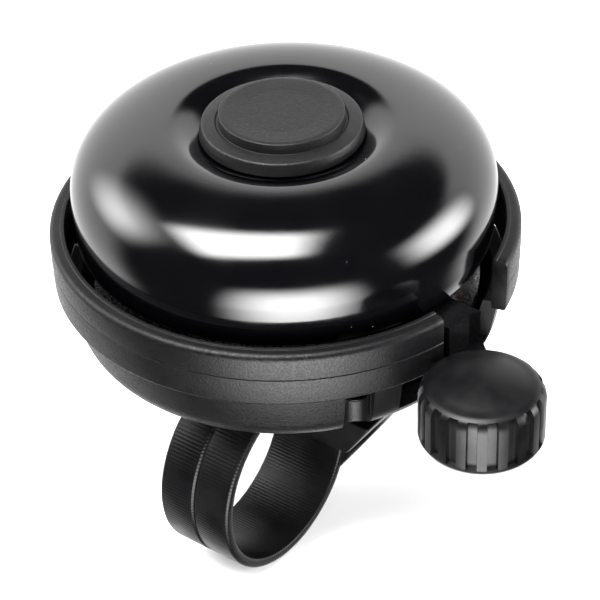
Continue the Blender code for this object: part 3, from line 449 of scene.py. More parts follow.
def ribbed_nylon():
    finish, tree, shader, place = new_finish("ribbed black nylon", "#040405", 0.0, 0.38, IOR=1.53,
                                             Specular_IOR_Level=0.14)
    axes = add_node(tree, "ShaderNodeSeparateXYZ", {}, {"Vector": place})
    bearing = add_node(tree, "ShaderNodeMath", {"operation": "ARCTAN2"},
                       {0: axes.outputs["Z"], 1: axes.outputs["Y"]})
    ribs = add_node(tree, "ShaderNodeMath", {"operation": "MULTIPLY"},
                    {0: bearing.outputs[0], 1: 2 * math.pi * BAR_R / RIB_PITCH})
    wave = add_node(tree, "ShaderNodeMath", {"operation": "SINE"}, {0: ribs.outputs[0]})
    out_y, out_z = (add_node(tree, "ShaderNodeMath", {"operation": "POWER"},
                             {0: axes.outputs[axis], 1: 2.0}) for axis in "YZ")
    square = add_node(tree, "ShaderNodeMath", {}, {0: out_y.outputs[0], 1: out_z.outputs[0]})
    reach = add_node(tree, "ShaderNodeMath", {"operation": "SQRT"}, {0: square.outputs[0]})
    on_strap = spread(tree, reach.outputs[0], 1.0, 0.0, RIBS_WHOLE_R * MM, RIBS_GONE_R * MM)
    high = add_node(tree, "ShaderNodeMath", {"operation": "MULTIPLY"},
                    {0: wave.outputs[0], 1: on_strap})
    blotch = add_node(tree, "ShaderNodeTexNoise", {},
                      {"Vector": place, "Scale": per_mm(4.0), "Detail": 5.0})
    tree.links.new(spread(tree, blotch.outputs["Fac"], 0.32, 0.44), shader.inputs["Roughness"])
    shade = add_node(tree, "ShaderNodeMix", {"data_type": "RGBA"},
                     {"Factor": spread(tree, blotch.outputs["Fac"], 0.0, 0.7),
                      6: linear("#040405"), 7: linear("#0b0b0c")})
    tree.links.new(shade.outputs[2], shader.inputs["Base Color"])
    fibre = add_node(tree, "ShaderNodeTexNoise", {},
                     {"Vector": place, "Scale": per_mm(0.3), "Detail": 3.0})
    rough = add_node(tree, "ShaderNodeBump", {},
                     {"Height": fibre.outputs["Fac"], "Strength": 0.35, "Distance": 0.04 * MM})
    bump = add_node(tree, "ShaderNodeBump", {},
                    {"Height": high.outputs[0], "Strength": 0.3, "Distance": 0.03 * MM,
                     "Normal": rough.outputs["Normal"]})
    tree.links.new(bump.outputs["Normal"], shader.inputs["Normal"])
    return finish


NYLON = ribbed_nylon()

# %% [markdown]
# ## The metals and the white plastic inside
#
# The screws and pins are steel with bright zinc plating, the pinion and the
# spacer are turned brass, and the idler gear is natural acetal, a waxy white.
# The works show through the lever's gap, and some screw heads from below. A
# metal keeps the shader's default IOR, and its colour tints what it mirrors.

# %% Finishes: plated steel, brass, black oxide, acetal
def turned_metal(name, colour, tarnish, roughness, grit):
    """Metal with a fine directionless lay and a thin uneven tarnish."""
    finish, tree, shader, place = new_finish(name, colour, 1.0, roughness)
    lay = add_node(tree, "ShaderNodeTexNoise", {},
                   {"Vector": place, "Scale": per_mm(grit), "Detail": 4.0, "Roughness": 0.7})
    cloud = add_node(tree, "ShaderNodeTexNoise", {},
                     {"Vector": place, "Scale": per_mm(3.0), "Detail": 5.0})
    shade = add_node(tree, "ShaderNodeMix", {"data_type": "RGBA"},
                     {"Factor": spread(tree, cloud.outputs["Fac"], 0.0, 0.8),
                      6: linear(colour), 7: linear(tarnish)})
    tree.links.new(shade.outputs[2], shader.inputs["Base Color"])
    tree.links.new(spread(tree, lay.outputs["Fac"], roughness - 0.08, roughness + 0.12),
                   shader.inputs["Roughness"])
    bump = add_node(tree, "ShaderNodeBump", {},
                    {"Height": lay.outputs["Fac"], "Strength": 0.25, "Distance": 0.02 * MM})
    tree.links.new(bump.outputs["Normal"], shader.inputs["Normal"])
    return finish


ZINC_STEEL = turned_metal("zinc plated steel", "#c6c7c9", "#96989b", 0.26, 0.3)
SPRING_STEEL = turned_metal("spring steel", "#a9abad", "#7a7a78", 0.24, 0.3)
OXIDE_STEEL = turned_metal("black oxide steel", "#2c2c2e", "#1c1c1d", 0.38, 0.3)
BRASS = turned_metal("turned brass", "#d0ab62", "#a98345", 0.24, 0.3)


def moulded_acetal():
    finish, tree, shader, place = new_finish("natural acetal", "#e4e1d6", 0.0, 0.34, IOR=1.48)
    flow = add_node(tree, "ShaderNodeTexNoise", {},
                    {"Vector": place, "Scale": per_mm(3.0), "Detail": 4.0})
    shade = add_node(tree, "ShaderNodeMix", {"data_type": "RGBA"},
                     {"Factor": flow.outputs["Fac"], 6: linear("#e9e6dc"), 7: linear("#d6d1c2")})
    tree.links.new(shade.outputs[2], shader.inputs["Base Color"])
    shader.inputs["Subsurface Weight"].default_value = 0.15
    shader.inputs["Subsurface Scale"].default_value = 1.0 * MM
    return finish


ACETAL = moulded_acetal()

# %% [markdown]
# ## The gong
#
# The gong is one spun shell: a dished crown that seats the cap, a full round
# shoulder, and a nearly upright skirt with a turned-in lip. A circle would
# make the shoulder too tight and an ellipse too slack, and the mirror finish
# shows the difference, so the shoulder is a superellipse with a power a little
# over two. The inside is the outside moved in by the sheet's thickness.

# %% Shape of the gong
GONG_WALL = 1.2
CREST_R = 13.3
HUB_R = 9.0
DISH_DEPTH = 1.3
WIDEST_Z = 3.95
SHOULDER_POWER = 2.33
HOLE_R = 2.3
SKIRT_TAPER = 0.35
gong_r = half_width("gong")
mouth_z, crest_z = heights("gong")


def crown_and_shoulder(steps=44):
    """From the hub, up over the crest and round the shoulder to the widest place."""
    points = [(HOLE_R, crest_z - DISH_DEPTH), (HUB_R - 1.2, crest_z - DISH_DEPTH)]
    for step in range(13):
        share = step / 12
        rise = DISH_DEPTH * (1 - math.cos(share * math.pi)) / 2
        points.append((HUB_R + (CREST_R - HUB_R) * share, crest_z - DISH_DEPTH + rise))
    for step in range(1, steps + 1):
        angle = math.pi / 2 * step / steps
        out = math.sin(angle) ** (2 / SHOULDER_POWER)
        up = max(math.cos(angle), 0.0) ** (2 / SHOULDER_POWER)
        points.append((CREST_R + (gong_r - CREST_R) * out, WIDEST_Z + (crest_z - WIDEST_Z) * up))
    return points


def moved_in(outline, distance):
    """The outline moved to its right-hand side by a distance."""
    points = []
    for number, point in enumerate(outline):
        before = Vector(outline[max(number - 1, 0)])
        after = Vector(outline[min(number + 1, len(outline) - 1)])
        along = (after - before).normalized()
        points.append(Vector(point) + Vector((along.y, -along.x)) * distance)
    return points


# %% Make the gong
skirt = [(gong_r - SKIRT_TAPER * share, WIDEST_Z + (mouth_z + 0.3 - WIDEST_Z) * share)
         for share in (0.33, 0.66, 1.0)]
outer = crown_and_shoulder() + skirt
inner = moved_in(outer, GONG_WALL)
inner[0].x = outer[0][0]
lip = [(outer[-1][0] - 0.1, mouth_z + 0.08), (outer[-1][0] - 0.35, mouth_z),
       (inner[-1].x + 0.35, mouth_z), (inner[-1].x + 0.1, mouth_z + 0.08)]
gong = turned("gong_shell", outer + lip + inner[::-1], 180, crease=60.0)
placed(gong, "base", "gong", ENAMEL, "gong")

# %% [markdown]
# ## The cap
#
# A press-on plastic cap hides the nut. It has a raised round face, a groove at
# the foot of the face, and a sloping flange. Its rims are bright because they
# are rubbed, and the small radii here give them something to catch.

# %% Make the cap
FACE_R = 7.35
FLANGE_R = 9.45
FLANGE_DROP = 1.15
CAP_WALL = 1.0
cap_r = half_width("cap")
cap_foot, cap_top = heights("cap")
cap_profile = rounded([
    (0.0, cap_top - 0.12, 0.0),
    (4.5, cap_top - 0.12, 3.0),
    (FACE_R - 0.55, cap_top, 0.5),
    (FACE_R, cap_top - 0.05, 0.16),
    (FACE_R + 0.02, cap_top - FLANGE_DROP + 0.12, 0.0),
    (FACE_R + 0.05, cap_top - FLANGE_DROP - 0.16, 0.05),
    (FACE_R + 0.3, cap_top - FLANGE_DROP - 0.16, 0.05),
    (FACE_R + 0.42, cap_top - FLANGE_DROP + 0.02, 0.1),
    (FLANGE_R - 0.1, cap_top - FLANGE_DROP - 0.2, 0.32),
    (cap_r - 0.12, cap_foot + 0.75, 0.3),
    (cap_r, cap_foot, 0.15),
    (FACE_R - CAP_WALL, cap_foot, 0.1),
    (FACE_R - CAP_WALL, cap_top - 1.1, 0.3),
    (0.0, cap_top - 1.1, 0.0),
], steps=4)
cap = turned("cap_moulding", cap_profile, 120)
placed(cap, "base", "cap", CAP_ABS, "cap")

# %% [markdown]
# ## The base ring
#
# The upper half of the base is a ring that the gong turns into. It is a plain
# band with a softly rounded top, a thin raised bead along its inner edge and a
# parting line where the mould's halves met. The lever passes through a gap,
# so the ring is a profile swept most of the way round and closed at its ends.

# %% Shape of the ring
RING_WALL = 1.9
PARTING_Z = -3.4
SLOT_FROM = -14.0
SLOT_TO = 12.5
ring_r = bell_axis.x - ring_low.x
ring_foot, ring_top = heights("base_ring")
ring_profile = rounded([
    (ring_r - RING_WALL, -0.3, 0.12),
    (ring_r - RING_WALL + 0.12, ring_top, 0.06),
    (ring_r - RING_WALL + 0.5, ring_top, 0.06),
    (ring_r - RING_WALL + 0.6, ring_top - 0.14, 0.06),
    (ring_r - 0.02, ring_top - 0.12, 0.75),
    (ring_r, PARTING_Z + 0.08, 0.05),
    (ring_r - 0.14, PARTING_Z, 0.0),
    (ring_r - 0.03, PARTING_Z - 0.1, 0.05),
    (ring_r - 0.12, ring_foot, 0.35),
    (ring_r - RING_WALL, ring_foot, 0.1),
])
ring = turned("base_ring_moulding", ring_profile, 150, start=SLOT_TO, stop=SLOT_FROM + 360)
edges_eased(ring, 0.22, 2, 60.0)

# %% Screw bosses inside the ring
CASE_BEARINGS = (-35.0, 85.0, 205.0)
CASE_PITCH_R = 24.3
POST_R = 2.2
POST_TOP_Z = -2.2
SCREW_HOLE_R = 1.1
CASE_SPOTS = [bell_axis + around(CASE_PITCH_R, bearing).to_3d() for bearing in CASE_BEARINGS]
for spot in CASE_SPOTS:
    post = rounded([(0.0, POST_TOP_Z, 0), (POST_R, POST_TOP_Z, 0.2),
                    (POST_R, ring_foot + 0.15, 0.1), (0.0, ring_foot + 0.15, 0)])
    combined(ring, turned("boss", post, 28, spot), "UNION")
    hole = rod(SCREW_HOLE_R, ring_foot - 1.0, POST_TOP_Z - 0.8)
    combined(ring, turned("hole", hole, 20, spot), "DIFFERENCE")
placed(ring, "base", "base", RING_ABS, "base_ring")

# %% [markdown]
# ## The base bowl
#
# The lower half is a shallow bowl that closes the works from below. Three
# screws hold it, each sunk in a pocket that breaks out through the wall, and
# a wide gap lets the lever swing. The bowl is turned first and then cut, as
# its mould's loose pieces would cut it.

# %% Turn the bowl
BOWL_R = 26.4
BOWL_WALL = 1.8
BOWL_FLOOR = 2.0
CORNER_R = 4.0
DRAFT = 1.4
SHADOW_GAP = 0.3
bowl_foot = heights("base_bowl")[0]
bowl_top = ring_foot - SHADOW_GAP
floor_top = bowl_foot + BOWL_FLOOR
bowl_profile = rounded([
    (0.0, bowl_foot, 0.0),
    (BOWL_R - DRAFT, bowl_foot, CORNER_R),
    (BOWL_R, bowl_top, 0.25),
    (BOWL_R - BOWL_WALL, bowl_top, 0.2),
    (BOWL_R - DRAFT - BOWL_WALL, floor_top, CORNER_R - BOWL_WALL),
    (0.0, floor_top, 0.0),
], steps=10)
bowl = turned("base_bowl_moulding", bowl_profile, 144, crease=50.0)

# %% Add the bosses
PLATE_BEARINGS = (150.0, 215.0, 285.0)
PLATE_PITCH_R = 19.0
PLATE_HOLE_R = 1.3


def inside_bowl():
    """The bowl's outer shape, a little smaller, to trim the bosses with."""
    trim = rounded([(0.0, bowl_foot + 0.2, 0.0),
                    (BOWL_R - DRAFT - 0.2, bowl_foot + 0.2, CORNER_R),
                    (BOWL_R - 0.3, bowl_top + 1.0, 0.0),
                    (0.0, bowl_top + 1.0, 0.0)])
    return turned("trim", trim, 96)


def add_boss(bearing, pitch_r, radius, top):
    """A round post on the bowl's floor, kept inside the bowl's skin."""
    spot = bell_axis + around(pitch_r, bearing).to_3d()
    post = turned("boss", rod(radius, floor_top - 1.0, top), 32, spot)
    boss = combined(post, inside_bowl(), "INTERSECT")
    combined(bowl, boss, "UNION")
    return spot


for bearing in CASE_BEARINGS:
    add_boss(bearing, CASE_PITCH_R - 0.6, 3.2, bowl_top - 0.2)
plate_foot, plate_top = heights("mechanism_plate")
for bearing in PLATE_BEARINGS:
    spot = add_boss(bearing, PLATE_PITCH_R, 2.6, plate_foot - 0.3)
    hole = rod(PLATE_HOLE_R, floor_top + 0.2, plate_top)
    combined(bowl, turned("hole", hole, 24, spot), "DIFFERENCE")

# %% Cut the screw pockets
POCKET_R = 1.75
SHELF = 1.6
NOTCH_WEB = 0.5
below = bowl_foot - 1


def cut_bowl(outline, top, spot=bell_axis, bottom=below):
    """Removes an outline's shape from the bowl, by default from below its foot."""
    combined(bowl, extruded("cutter", outline, bottom, top, spot), "DIFFERENCE")


for bearing, spot in zip(CASE_BEARINGS, CASE_SPOTS):
    cut_bowl(circle(POCKET_R, 32), ring_foot - SHELF, spot)
    cut_bowl(circle(SCREW_HOLE_R), ring_foot + 1, spot)
    notch = oblong(0.4, -POCKET_R, 6.1, POCKET_R)
    cut_bowl(swung(notch, bearing), bowl_top - NOTCH_WEB, spot)
for node in ("saddle_screw_1", "saddle_screw_2"):
    cut_bowl(circle(1.5), bowl_foot + 3, bell_axis + from_axis(node).xy.to_3d())


# %% Cut the lever's gap
def arc_points(radius, start, stop, steps):
    """Points along an arc, with both of its ends."""
    return [around(radius, start + (stop - start) * step / steps) for step in range(steps + 1)]


GAP_FROM = -23.5
GAP_TO = 16.0
gap = arc_points(ring_r + 4, GAP_FROM, GAP_TO, 12) + arc_points(BOWL_R - 4.6, GAP_TO, GAP_FROM, 12)
cut_bowl(gap, -5.0, bottom=floor_top + 0.4)
placed(bowl, "base", "base", RING_ABS, "base_bowl")

# %% [markdown]
# ## The thumb knob
#
# The knob is a round cap with a crowned top, a ring of raised grip pads, and a
# hollow underside. The pads are made by letting the side's radius step in and
# out with the bearing, on a grid of points, which keeps the top and the bottom
# rim perfectly round while the pads stay crisp.

# %% Shape of the knob
PAD_COUNT = 19
PAD_SHARE = 0.52
GROOVE_DEPTH = 0.6
PAD_PHASE = -47.4
CROWN = 0.85
EDGE_ROUND = 1.6
HOLLOW_R = 5.05
HOLLOW_GAP = 0.3
PAD_TOP_ANGLE = 52.0
KNOB_CREASE = 42.0
knob_spot = bell_axis + from_axis("lever_knob").xy.to_3d()
knob_r = half_width("lever_knob")
knob_foot, knob_top = heights("lever_knob")
shoulder_r = knob_r - EDGE_ROUND
edge_middle = knob_top - CROWN - EDGE_ROUND
pad_top = edge_middle + around(EDGE_ROUND, PAD_TOP_ANGLE).y
pad_foot = knob_foot + 0.95
lever_foot = heights("thumb_lever")[0]
knob_profile = [(0.0, knob_top)]
for step in range(1, 9):
    out = step / 8
    knob_profile.append((shoulder_r * out, knob_top - CROWN * out ** 2))
for angle in (78, 65):
    bend = around(EDGE_ROUND, angle)
    knob_profile.append((shoulder_r + bend.x, edge_middle + bend.y))
PAD_ROWS = [pad_top, pad_top - 0.14, edge_middle + 0.6, edge_middle,
            (edge_middle + pad_foot) / 2, pad_foot + 0.16, pad_foot]
for height in PAD_ROWS:
    up = max(height - edge_middle, 0.0)
    knob_profile.append((shoulder_r + math.sqrt(EDGE_ROUND ** 2 - up ** 2), height))
knob_profile += [(knob_r - 0.02, pad_foot - 0.15), (knob_r - 0.3, knob_foot + 0.32),
                 (knob_r - 0.75, knob_foot + 0.06), (knob_r - 1.2, knob_foot),
                 (HOLLOW_R, knob_foot), (HOLLOW_R, lever_foot - HOLLOW_GAP),
                 (0.0, lever_foot - HOLLOW_GAP)]


# %% Make the knob
def pad_depth(share, height):
    """How far the side steps in at a share of one pad's turn and a height."""
    if not pad_foot + 0.1 < height < pad_top - 0.1:
        return 0.0
    return 0.0 if abs(share - 0.5) <= PAD_SHARE / 2 else GROOVE_DEPTH


PAD_STATIONS = [0.0, 0.12, 0.235, 0.265, 0.38, 0.5, 0.62, 0.735, 0.765, 0.88]
bearings = [(pad + share) * 360 / PAD_COUNT + PAD_PHASE
            for pad in range(PAD_COUNT) for share in PAD_STATIONS]
points = []
for number, bearing in enumerate(bearings):
    share = PAD_STATIONS[number % len(PAD_STATIONS)]
    points += [(*around(radius - pad_depth(share, height) * (radius > HOLLOW_R), bearing), height)
               for radius, height in knob_profile]
faces = strips(len(bearings), len(knob_profile), loop=False)
knob = build("knob_moulding", points, faces, knob_spot, crease=KNOB_CREASE)

# %% Cut the lever's seat in the knob
ARM_FROM_PIVOT = Vector((14.5, -1.0, 0.0))
SEAT_DROP, SEAT_RISE = 0.7, 2.1
along_arm = from_axis("lever_pin") + ARM_FROM_PIVOT - from_axis("lever_knob")
seat_bearing = math.degrees(math.atan2(along_arm.y, along_arm.x))
seat = swung([(-3.5, -3.5), (12, -4.1), (12, 5.9), (-3.5, 3.5)], seat_bearing)
cutter = extruded("seat", seat, lever_foot - SEAT_DROP, lever_foot + SEAT_RISE, knob_spot)
combined(knob, cutter, "DIFFERENCE", KNOB_CREASE)
placed(knob, "lever", "knob", KNOB_ABS, "lever_knob")

# %% [markdown]
# ## The clamp
#
# The clamp is one nylon moulding. A saddle with a sloping wing carries the
# bell on top of the bar, and a strap runs from it round the bar to a free end
# that a screw draws in. The strap is swept round the bar from its true cross
# section, with eased edges and a shallow groove along its middle. The saddle
# is an outline pushed along the bar whose near end leans with the wing. All
# of its sizes are counted from the middle of the bar, the frame's own origin.

# %% Sweep the strap round the bar
STRAP_T = 1.25
STRAP_W = 10.3
GROOVE_W = 0.34
GROOVE_SINK = 0.22
STRAP_FREE = 118.0
STRAP_FIXED = 430.0
STRAP_STEPS = 96
strap_r = BAR_R + STRAP_T
strap_section = rounded([
    (-STRAP_W / 2, BAR_R, 0.3),
    (STRAP_W / 2, BAR_R, 0.3),
    (STRAP_W / 2, strap_r, 0.42),
    (GROOVE_W, strap_r, 0.08),
    (GROOVE_W * 0.4, strap_r - GROOVE_SINK, 0.05),
    (-GROOVE_W * 0.4, strap_r - GROOVE_SINK, 0.05),
    (-GROOVE_W, strap_r, 0.08),
    (-STRAP_W / 2, strap_r, 0.42),
], steps=3)
points = []
for station in range(STRAP_STEPS + 1):
    bearing = STRAP_FREE + (STRAP_FIXED - STRAP_FREE) * station / STRAP_STEPS
    points += [(along, *around(radius, bearing)) for along, radius in strap_section]
faces = strips(STRAP_STEPS + 1, len(strap_section), whole=False)
faces += end_faces(STRAP_STEPS + 1, len(strap_section))
clamp = build("clamp_moulding", points, faces, ORIGIN)

# %% Push the saddle along the bar
SADDLE_R = 12.1
BACK_R = 13.5
WING_EDGE_X = 9.2
WING_SLOPE = 0.65
FREE_SIDE_Y = -3.9
BACK_ENDS = 28.0, -35.0
clamp_low, clamp_high = box_mm("clamp_strap")
saddle_top = clamp_high.z


def saddle_outline():
    """Seen along the bar: under the saddle, up the free side, over the top, down the back."""
    free_side = math.degrees(math.acos(FREE_SIDE_Y / SADDLE_R))
    points = arc_points(SADDLE_R, BACK_ENDS[1], free_side, 40)
    points += [(FREE_SIDE_Y, saddle_top), (10.5, saddle_top), (11.9, 11.5)]
    return points + arc_points(BACK_R, *BACK_ENDS, 20)


outline = saddle_outline()
points = [(clamp_low.x, y, z) for y, z in outline]
points += [(WING_EDGE_X + WING_SLOPE * z, y, z) for y, z in outline]
faces = end_faces(2, len(outline)) + strips(2, len(outline), whole=False)
saddle = edges_eased(build("saddle", points, faces, ORIGIN), 0.3)
combined(clamp, saddle, "UNION")

# %% Add the free end's tab and drill the holes
TAB_INSET = 0.2
CLAMP_HOLE_R = 1.5
UP, DOWN, OUT = Vector((0, 0, 1)), Vector((0, 0, -1)), Vector((0, -1, 0))
strap_end = around(BAR_R + STRAP_T / 2, STRAP_FREE)
half = STRAP_W / 2 - TAB_INSET
tab_outline = oblong(-half, strap_end.x - 0.8, half, strap_end.x + 0.5)
tab = extruded("tab", tab_outline, strap_end.y - TAB_INSET, saddle_top - 0.4, ORIGIN)
combined(clamp, edges_eased(tab, 0.25), "UNION")


def turned_to(axis, place):
    """The move that takes an upright shape at the origin to an axis through a place."""
    turn = UP.rotation_difference(axis).to_matrix().to_4x4()
    return Matrix.Translation(place * MM) @ turn


def drill_clamp(middle, axis, length):
    """Cuts a screw hole along an axis through a place."""
    hole = extruded("hole", circle(CLAMP_HOLE_R), -length / 2, length / 2, ORIGIN)
    hole.data.transform(turned_to(axis, middle))
    combined(clamp, hole, "DIFFERENCE")


clamp_screw = bell_axis + from_axis("clamp_screw")
drill_clamp(Vector((0, -4, clamp_screw.z)), -OUT, 16)
for node in ("saddle_screw_1", "saddle_screw_2"):
    spot = bell_axis + from_axis(node)
    drill_clamp(Vector((spot.x, spot.y, saddle_top - 0.85)), UP, 6)
placed(clamp, "base", "clamp", NYLON, "clamp_strap")

# %% [markdown]
# ## Screws
#
# The screws are small pan-head self-tappers. A head is turned with a domed
# top and an eased rim, then a cross recess is cut in it. The shank is turned
# with ridges in place of a true helix, which reads as a thread at this size.

# %% Profile of a screw
THREAD_PITCH = 0.62
RECESS_HALF = 0.22


def screw_profile(head_r, head_t, shank_r, length):
    """The domed head, the ridged shank and the blunt tip, from the top down."""
    profile = [(0.0, 0.0), (head_r * 0.45, -0.03), (head_r * 0.78, -head_t * 0.25),
               (head_r * 0.95, -head_t * 0.55), (head_r, -head_t * 0.8), (head_r, -head_t),
               (shank_r, -head_t - 0.02)]
    for ridge in range(int((length - head_t - 0.9) / THREAD_PITCH)):
        down = -head_t - 0.3 - ridge * THREAD_PITCH
        profile += [(shank_r * 0.8, down), (shank_r, down - THREAD_PITCH * 0.45),
                    (shank_r, down - THREAD_PITCH * 0.6)]
    return profile + [(shank_r * 0.75, -length + 0.5), (0.0, -length)]


# %% Make the screws
def cross_screw(name, node, axis, shank_r, finish, body="base", slot="steel"):
    """Fills its CAD node's box: the head at the end that the axis points to."""
    low, high = box_mm(node)
    length = abs((high - low).dot(axis))
    head_r = max((high - low)[i] for i in range(3) if not round(axis[i])) / 2
    head_t = head_r * 0.5
    screw = turned(name, screw_profile(head_r, head_t, shank_r, length), 36, ORIGIN)
    bar = oblong(-head_r * 0.55, -RECESS_HALF, head_r * 0.55, RECESS_HALF)
    for bearing in (20.0, 110.0):
        recess = extruded("recess", swung(bar, bearing), -head_t * 0.75, 0.5, ORIGIN)
        combined(screw, recess, "DIFFERENCE")
    screw.data.transform(turned_to(axis, (low + high) / 2 + axis * length / 2))
    placed(screw, body, slot, finish, node)


for number in (1, 2, 3):
    cross_screw(f"case_screw_head_{number}", f"case_screw_{number}", DOWN, 0.8, OXIDE_STEEL,
                slot="black_screw")
    cross_screw(f"plate_screw_head_{number}", f"plate_screw_{number}", UP, 1.0, ZINC_STEEL)
for number in (1, 2):
    cross_screw(f"saddle_screw_head_{number}", f"saddle_screw_{number}", UP, 1.2, ZINC_STEEL)
cross_screw("clamp_screw_head", "clamp_screw", OUT, 1.2, ZINC_STEEL)
cross_screw("knob_screw_head", "knob_screw", DOWN, 1.2, ZINC_STEEL, body="lever")

# %% [markdown]
# ## Parts that keep their CAD shape
#
# The lever, the gears and the works have the right shape already, so they
# only need a finish. Their edges are square, as CAD leaves them, so each gets
# a modifier that merges its flat facets and another that eases its edges by
# the width in the table. The spring is round wire, with nothing to ease.

# %% Finish the CAD parts
KEPT = {
    "thumb_lever": (LEVER_ABS, 0.18), "gong_stud_1": (ZINC_STEEL, 0.08),
    "gong_stud_2": (ZINC_STEEL, 0.08), "gong_spacer": (BRASS, 0.08),
    "gong_washer": (ZINC_STEEL, 0.05), "gong_nut": (ZINC_STEEL, 0.08),
    "centre_post": (ZINC_STEEL, 0.08), "mechanism_plate": (ZINC_STEEL, 0.08),
    "lever_pin": (ZINC_STEEL, 0.06), "lever_clip": (ZINC_STEEL, 0.05),
    "return_spring": (SPRING_STEEL, 0.0), "idler_gear": (ACETAL, 0.06),
    "idler_pin": (ZINC_STEEL, 0.06), "idler_clip": (ZINC_STEEL, 0.05),
    "rotor_pinion": (BRASS, 0.06), "rotor_arm": (ZINC_STEEL, 0.08),
    "clapper_pin_1": (ZINC_STEEL, 0.06), "clapper_pin_2": (ZINC_STEEL, 0.06),
    "clapper_disc_1": (ZINC_STEEL, 0.08), "clapper_disc_2": (ZINC_STEEL, 0.08),
}
for node, (finish, ease) in KEPT.items():
    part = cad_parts[node]
    part.data.materials.clear()
    part.data.materials.append(finish)
    if ease:
        merge = part.modifiers.new("merge flat facets", "DECIMATE")
        merge.decimate_type = "DISSOLVE"
        merge.angle_limit = math.radians(1.0)
        bevel = part.modifiers.new("eased edges", "BEVEL")
        bevel.width = ease * MM
        bevel.segments = 2
        bevel.angle_limit = math.radians(40.0)
print(len(KEPT), "CAD parts finished in place")

# %% [markdown]
# ## The studio
#
# A small product studio: a pale floor that sweeps up into a pale wall all
# round, and a few soft boxes. A black mirror shows its surroundings more than
# itself, so each soft box is placed for the highlight that it makes: one
# overhead for the shoulder, one at each side, and a low card in front for the
# skirt. The sweep is kept out of mirror reflections, so that the gong stays
# black between the highlights, and the sky behind it gives the soft grey.

# %% Floor and wall
FLAT_R = 910.0
BEND_R = 390.0
WALL_TOP = 900.0
SWEEP_STEPS = 72
floor_z = cad_low.z / MM - 0.05
sweep_profile = [(0.0, 0.0), (FLAT_R, 0.0)]
for angle in range(6, 91, 6):
    bend = around(BEND_R, angle - 90)
    sweep_profile.append((FLAT_R + bend.x, BEND_R + bend.y))
sweep_profile.append((FLAT_R + BEND_R, WALL_TOP))
points = []
for step in range(SWEEP_STEPS):
    bearing = 360 * step / SWEEP_STEPS
    points += [(*around(radius, bearing), height) for radius, height in sweep_profile]
faces = strips(SWEEP_STEPS, len(sweep_profile), loop=False)
sweep = build("sweep", points, faces, Vector((0, 0, floor_z)))
if sweep.data.polygons[0].normal.z < 0:
    sweep.data.flip_normals()

# %% Finish: backdrop paper
paper, tree, shader, place = new_finish("pale backdrop paper", "#f1f1f1", 0.0, 0.9)
fibres = add_node(tree, "ShaderNodeTexNoise", {},
                  {"Vector": place, "Scale": per_mm(8.0), "Detail": 3.0})
tint = add_node(tree, "ShaderNodeMix", {"data_type": "RGBA"},
                {"Factor": fibres.outputs["Fac"], 6: linear("#eeeeee"), 7: linear("#f4f4f4")})
tree.links.new(tint.outputs[2], shader.inputs["Base Color"])
sweep.data.materials.append(paper)
sweep.visible_glossy = False

# %% Soft boxes
def direction(azimuth, elevation):
    """The unit vector towards a compass bearing and a height angle."""
    flat = math.cos(math.radians(elevation))
    return Vector((*(around(1, azimuth) * flat), math.sin(math.radians(elevation))))


def faded_glow(light, glow, fade):
    """Light that is even in the middle of a box and fades over a share of its half width."""
    light.use_nodes = True
    tree = light.node_tree
    tree.nodes.clear()
    place = add_node(tree, "ShaderNodeNewGeometry").outputs["Parametric"]
    axes = add_node(tree, "ShaderNodeSeparateXYZ", {}, {"Vector": place})
    even = []
    for axis in ("X", "Y"):
        centred = add_node(tree, "ShaderNodeMath", {"operation": "SUBTRACT"},
                           {0: axes.outputs[axis], 1: 0.5})
        away = add_node(tree, "ShaderNodeMath", {"operation": "ABSOLUTE"}, {0: centred.outputs[0]})
        even.append(spread(tree, away.outputs[0], 1.0, 0.0, 0.5 - fade / 2, 0.5))
    both = add_node(tree, "ShaderNodeMath", {"operation": "MULTIPLY"}, {0: even[0], 1: even[1]})
    level = add_node(tree, "ShaderNodeMath", {"operation": "MULTIPLY"},
                     {0: both.outputs[0], 1: glow})
    lamp = add_node(tree, "ShaderNodeEmission", {}, {"Strength": level.outputs[0]})
    add_node(tree, "ShaderNodeOutputLight", {}, {"Surface": lamp.outputs[0]})


def soft_box(name, azimuth, elevation, distance, width, height, glow,
             aim=bell_axis, roll=0.0, fade=0.5):
    """A glowing rectangle, sizes in mm, that faces the bell from a direction.

    Its power grows with its area, so boxes of one glow are equally bright.
    """
    data = bpy.data.lights.new(name, "AREA")
    data.shape = "RECTANGLE"
    data.size = width * MM
    data.size_y = height * MM
    data.energy = math.pi * width * height * MM * MM
    faded_glow(data, glow, fade)
    box = bpy.data.objects.new(name, data)
    bpy.context.scene.collection.objects.link(box)
    away = direction(azimuth, elevation)
    box.location = (aim + away * distance) * MM
    box.rotation_mode = "QUATERNION"
    lean = Matrix.Rotation(math.radians(roll), 4, "Z").to_quaternion()
    box.rotation_quaternion = (-away).to_track_quat("-Z", "Y") @ lean
    box.visible_camera = False


soft_box("overhead_box", -102.0, 71.5, 520.0, 560.0, 460.0, 30.0, roll=48.0, fade=0.6)
soft_box("right_box", 32.0, 12.0, 520.0, 600.0, 520.0, 20.0, fade=0.9)
soft_box("left_box", -158.0, 30.0, 560.0, 640.0, 560.0, 12.0, fade=1.0)
skirt_front = bell_axis + around(gong_r, -50.0).to_3d()
soft_box("front_card", -50.0, -26.0, 120.0, 210.0, 170.0, 26.0, skirt_front, fade=0.9)

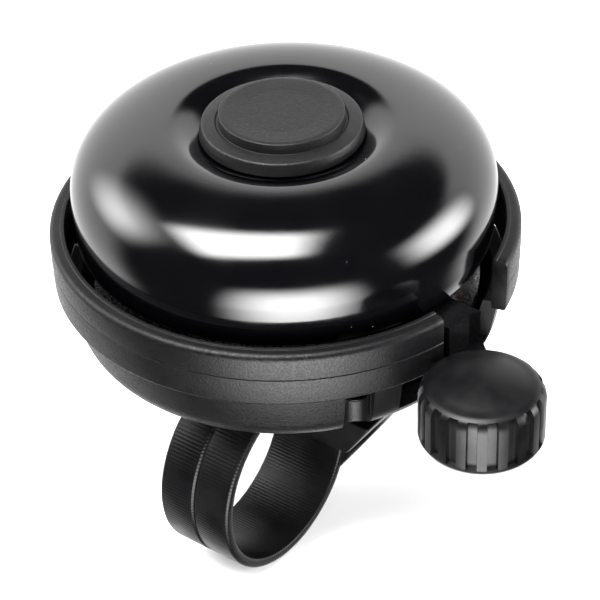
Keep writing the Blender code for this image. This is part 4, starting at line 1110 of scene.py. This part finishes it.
# %% Sky for the soft grey reflections
# It glows low down on the side behind the bell and is nearly black elsewhere.
world = bpy.data.worlds.new("studio surroundings")
bpy.context.scene.world = world
world.use_nodes = True
tree = world.node_tree
tree.nodes.clear()
look = add_node(tree, "ShaderNodeTexCoord").outputs["Generated"]
axes = add_node(tree, "ShaderNodeSeparateXYZ", {}, {"Vector": look})
BACK_WALL = 135.0
toward = add_node(tree, "ShaderNodeVectorMath", {"operation": "DOT_PRODUCT"},
                  {0: look, 1: direction(BACK_WALL, 0.0)})
sideways = spread(tree, toward.outputs["Value"], 0.0, 1.0, -0.1, 0.45)
low_sky = spread(tree, axes.outputs["Z"], 1.0, 0.0, 0.52, 0.68)
wall = add_node(tree, "ShaderNodeMath", {"operation": "MULTIPLY"}, {0: sideways, 1: low_sky})
glow = spread(tree, wall.outputs[0], 0.06, 2.1, 0.0, 1.0)
sky = add_node(tree, "ShaderNodeBackground", {}, {"Color": linear("#ffffff"), "Strength": glow})
add_node(tree, "ShaderNodeOutputWorld", {}, {"Surface": sky.outputs["Background"]})

# %% [markdown]
# ## The camera
#
# A long lens from a little above, as a product picture is taken, turned so that
# the knob comes forward on the right. It leans by a degree or two, because it
# was held and not levelled.

# %% Place the camera
CAMERA_BEARING = 37.5
CAMERA_HEIGHT = 36.75
CAMERA_LEAN = 1.85
CAMERA_DISTANCE = 290.1
AIM_RIGHT, AIM_DOWN = 1.77, 10.53
LENS = 146.88
back = direction(CAMERA_BEARING - 90.0, CAMERA_HEIGHT)
level = (-back).to_track_quat("-Z", "Y").to_matrix()
facing = level @ Matrix.Rotation(math.radians(-CAMERA_LEAN), 3, "Z")
camera = bpy.data.objects.new("camera", bpy.data.cameras.new("camera"))
bpy.context.scene.collection.objects.link(camera)
aim = facing @ Vector((AIM_RIGHT, -AIM_DOWN, CAMERA_DISTANCE))
camera.location = (bell_axis + aim) * MM
camera.rotation_mode = "QUATERNION"
camera.rotation_quaternion = facing.to_quaternion()
camera.data.lens = LENS
camera.data.sensor_width = 36.0
camera.data.clip_start = 0.01
bpy.context.scene.camera = camera
bpy.context.scene.view_settings.view_transform = "Standard"
print("camera at, mm:", [round(value / MM, 1) for value in camera.location])
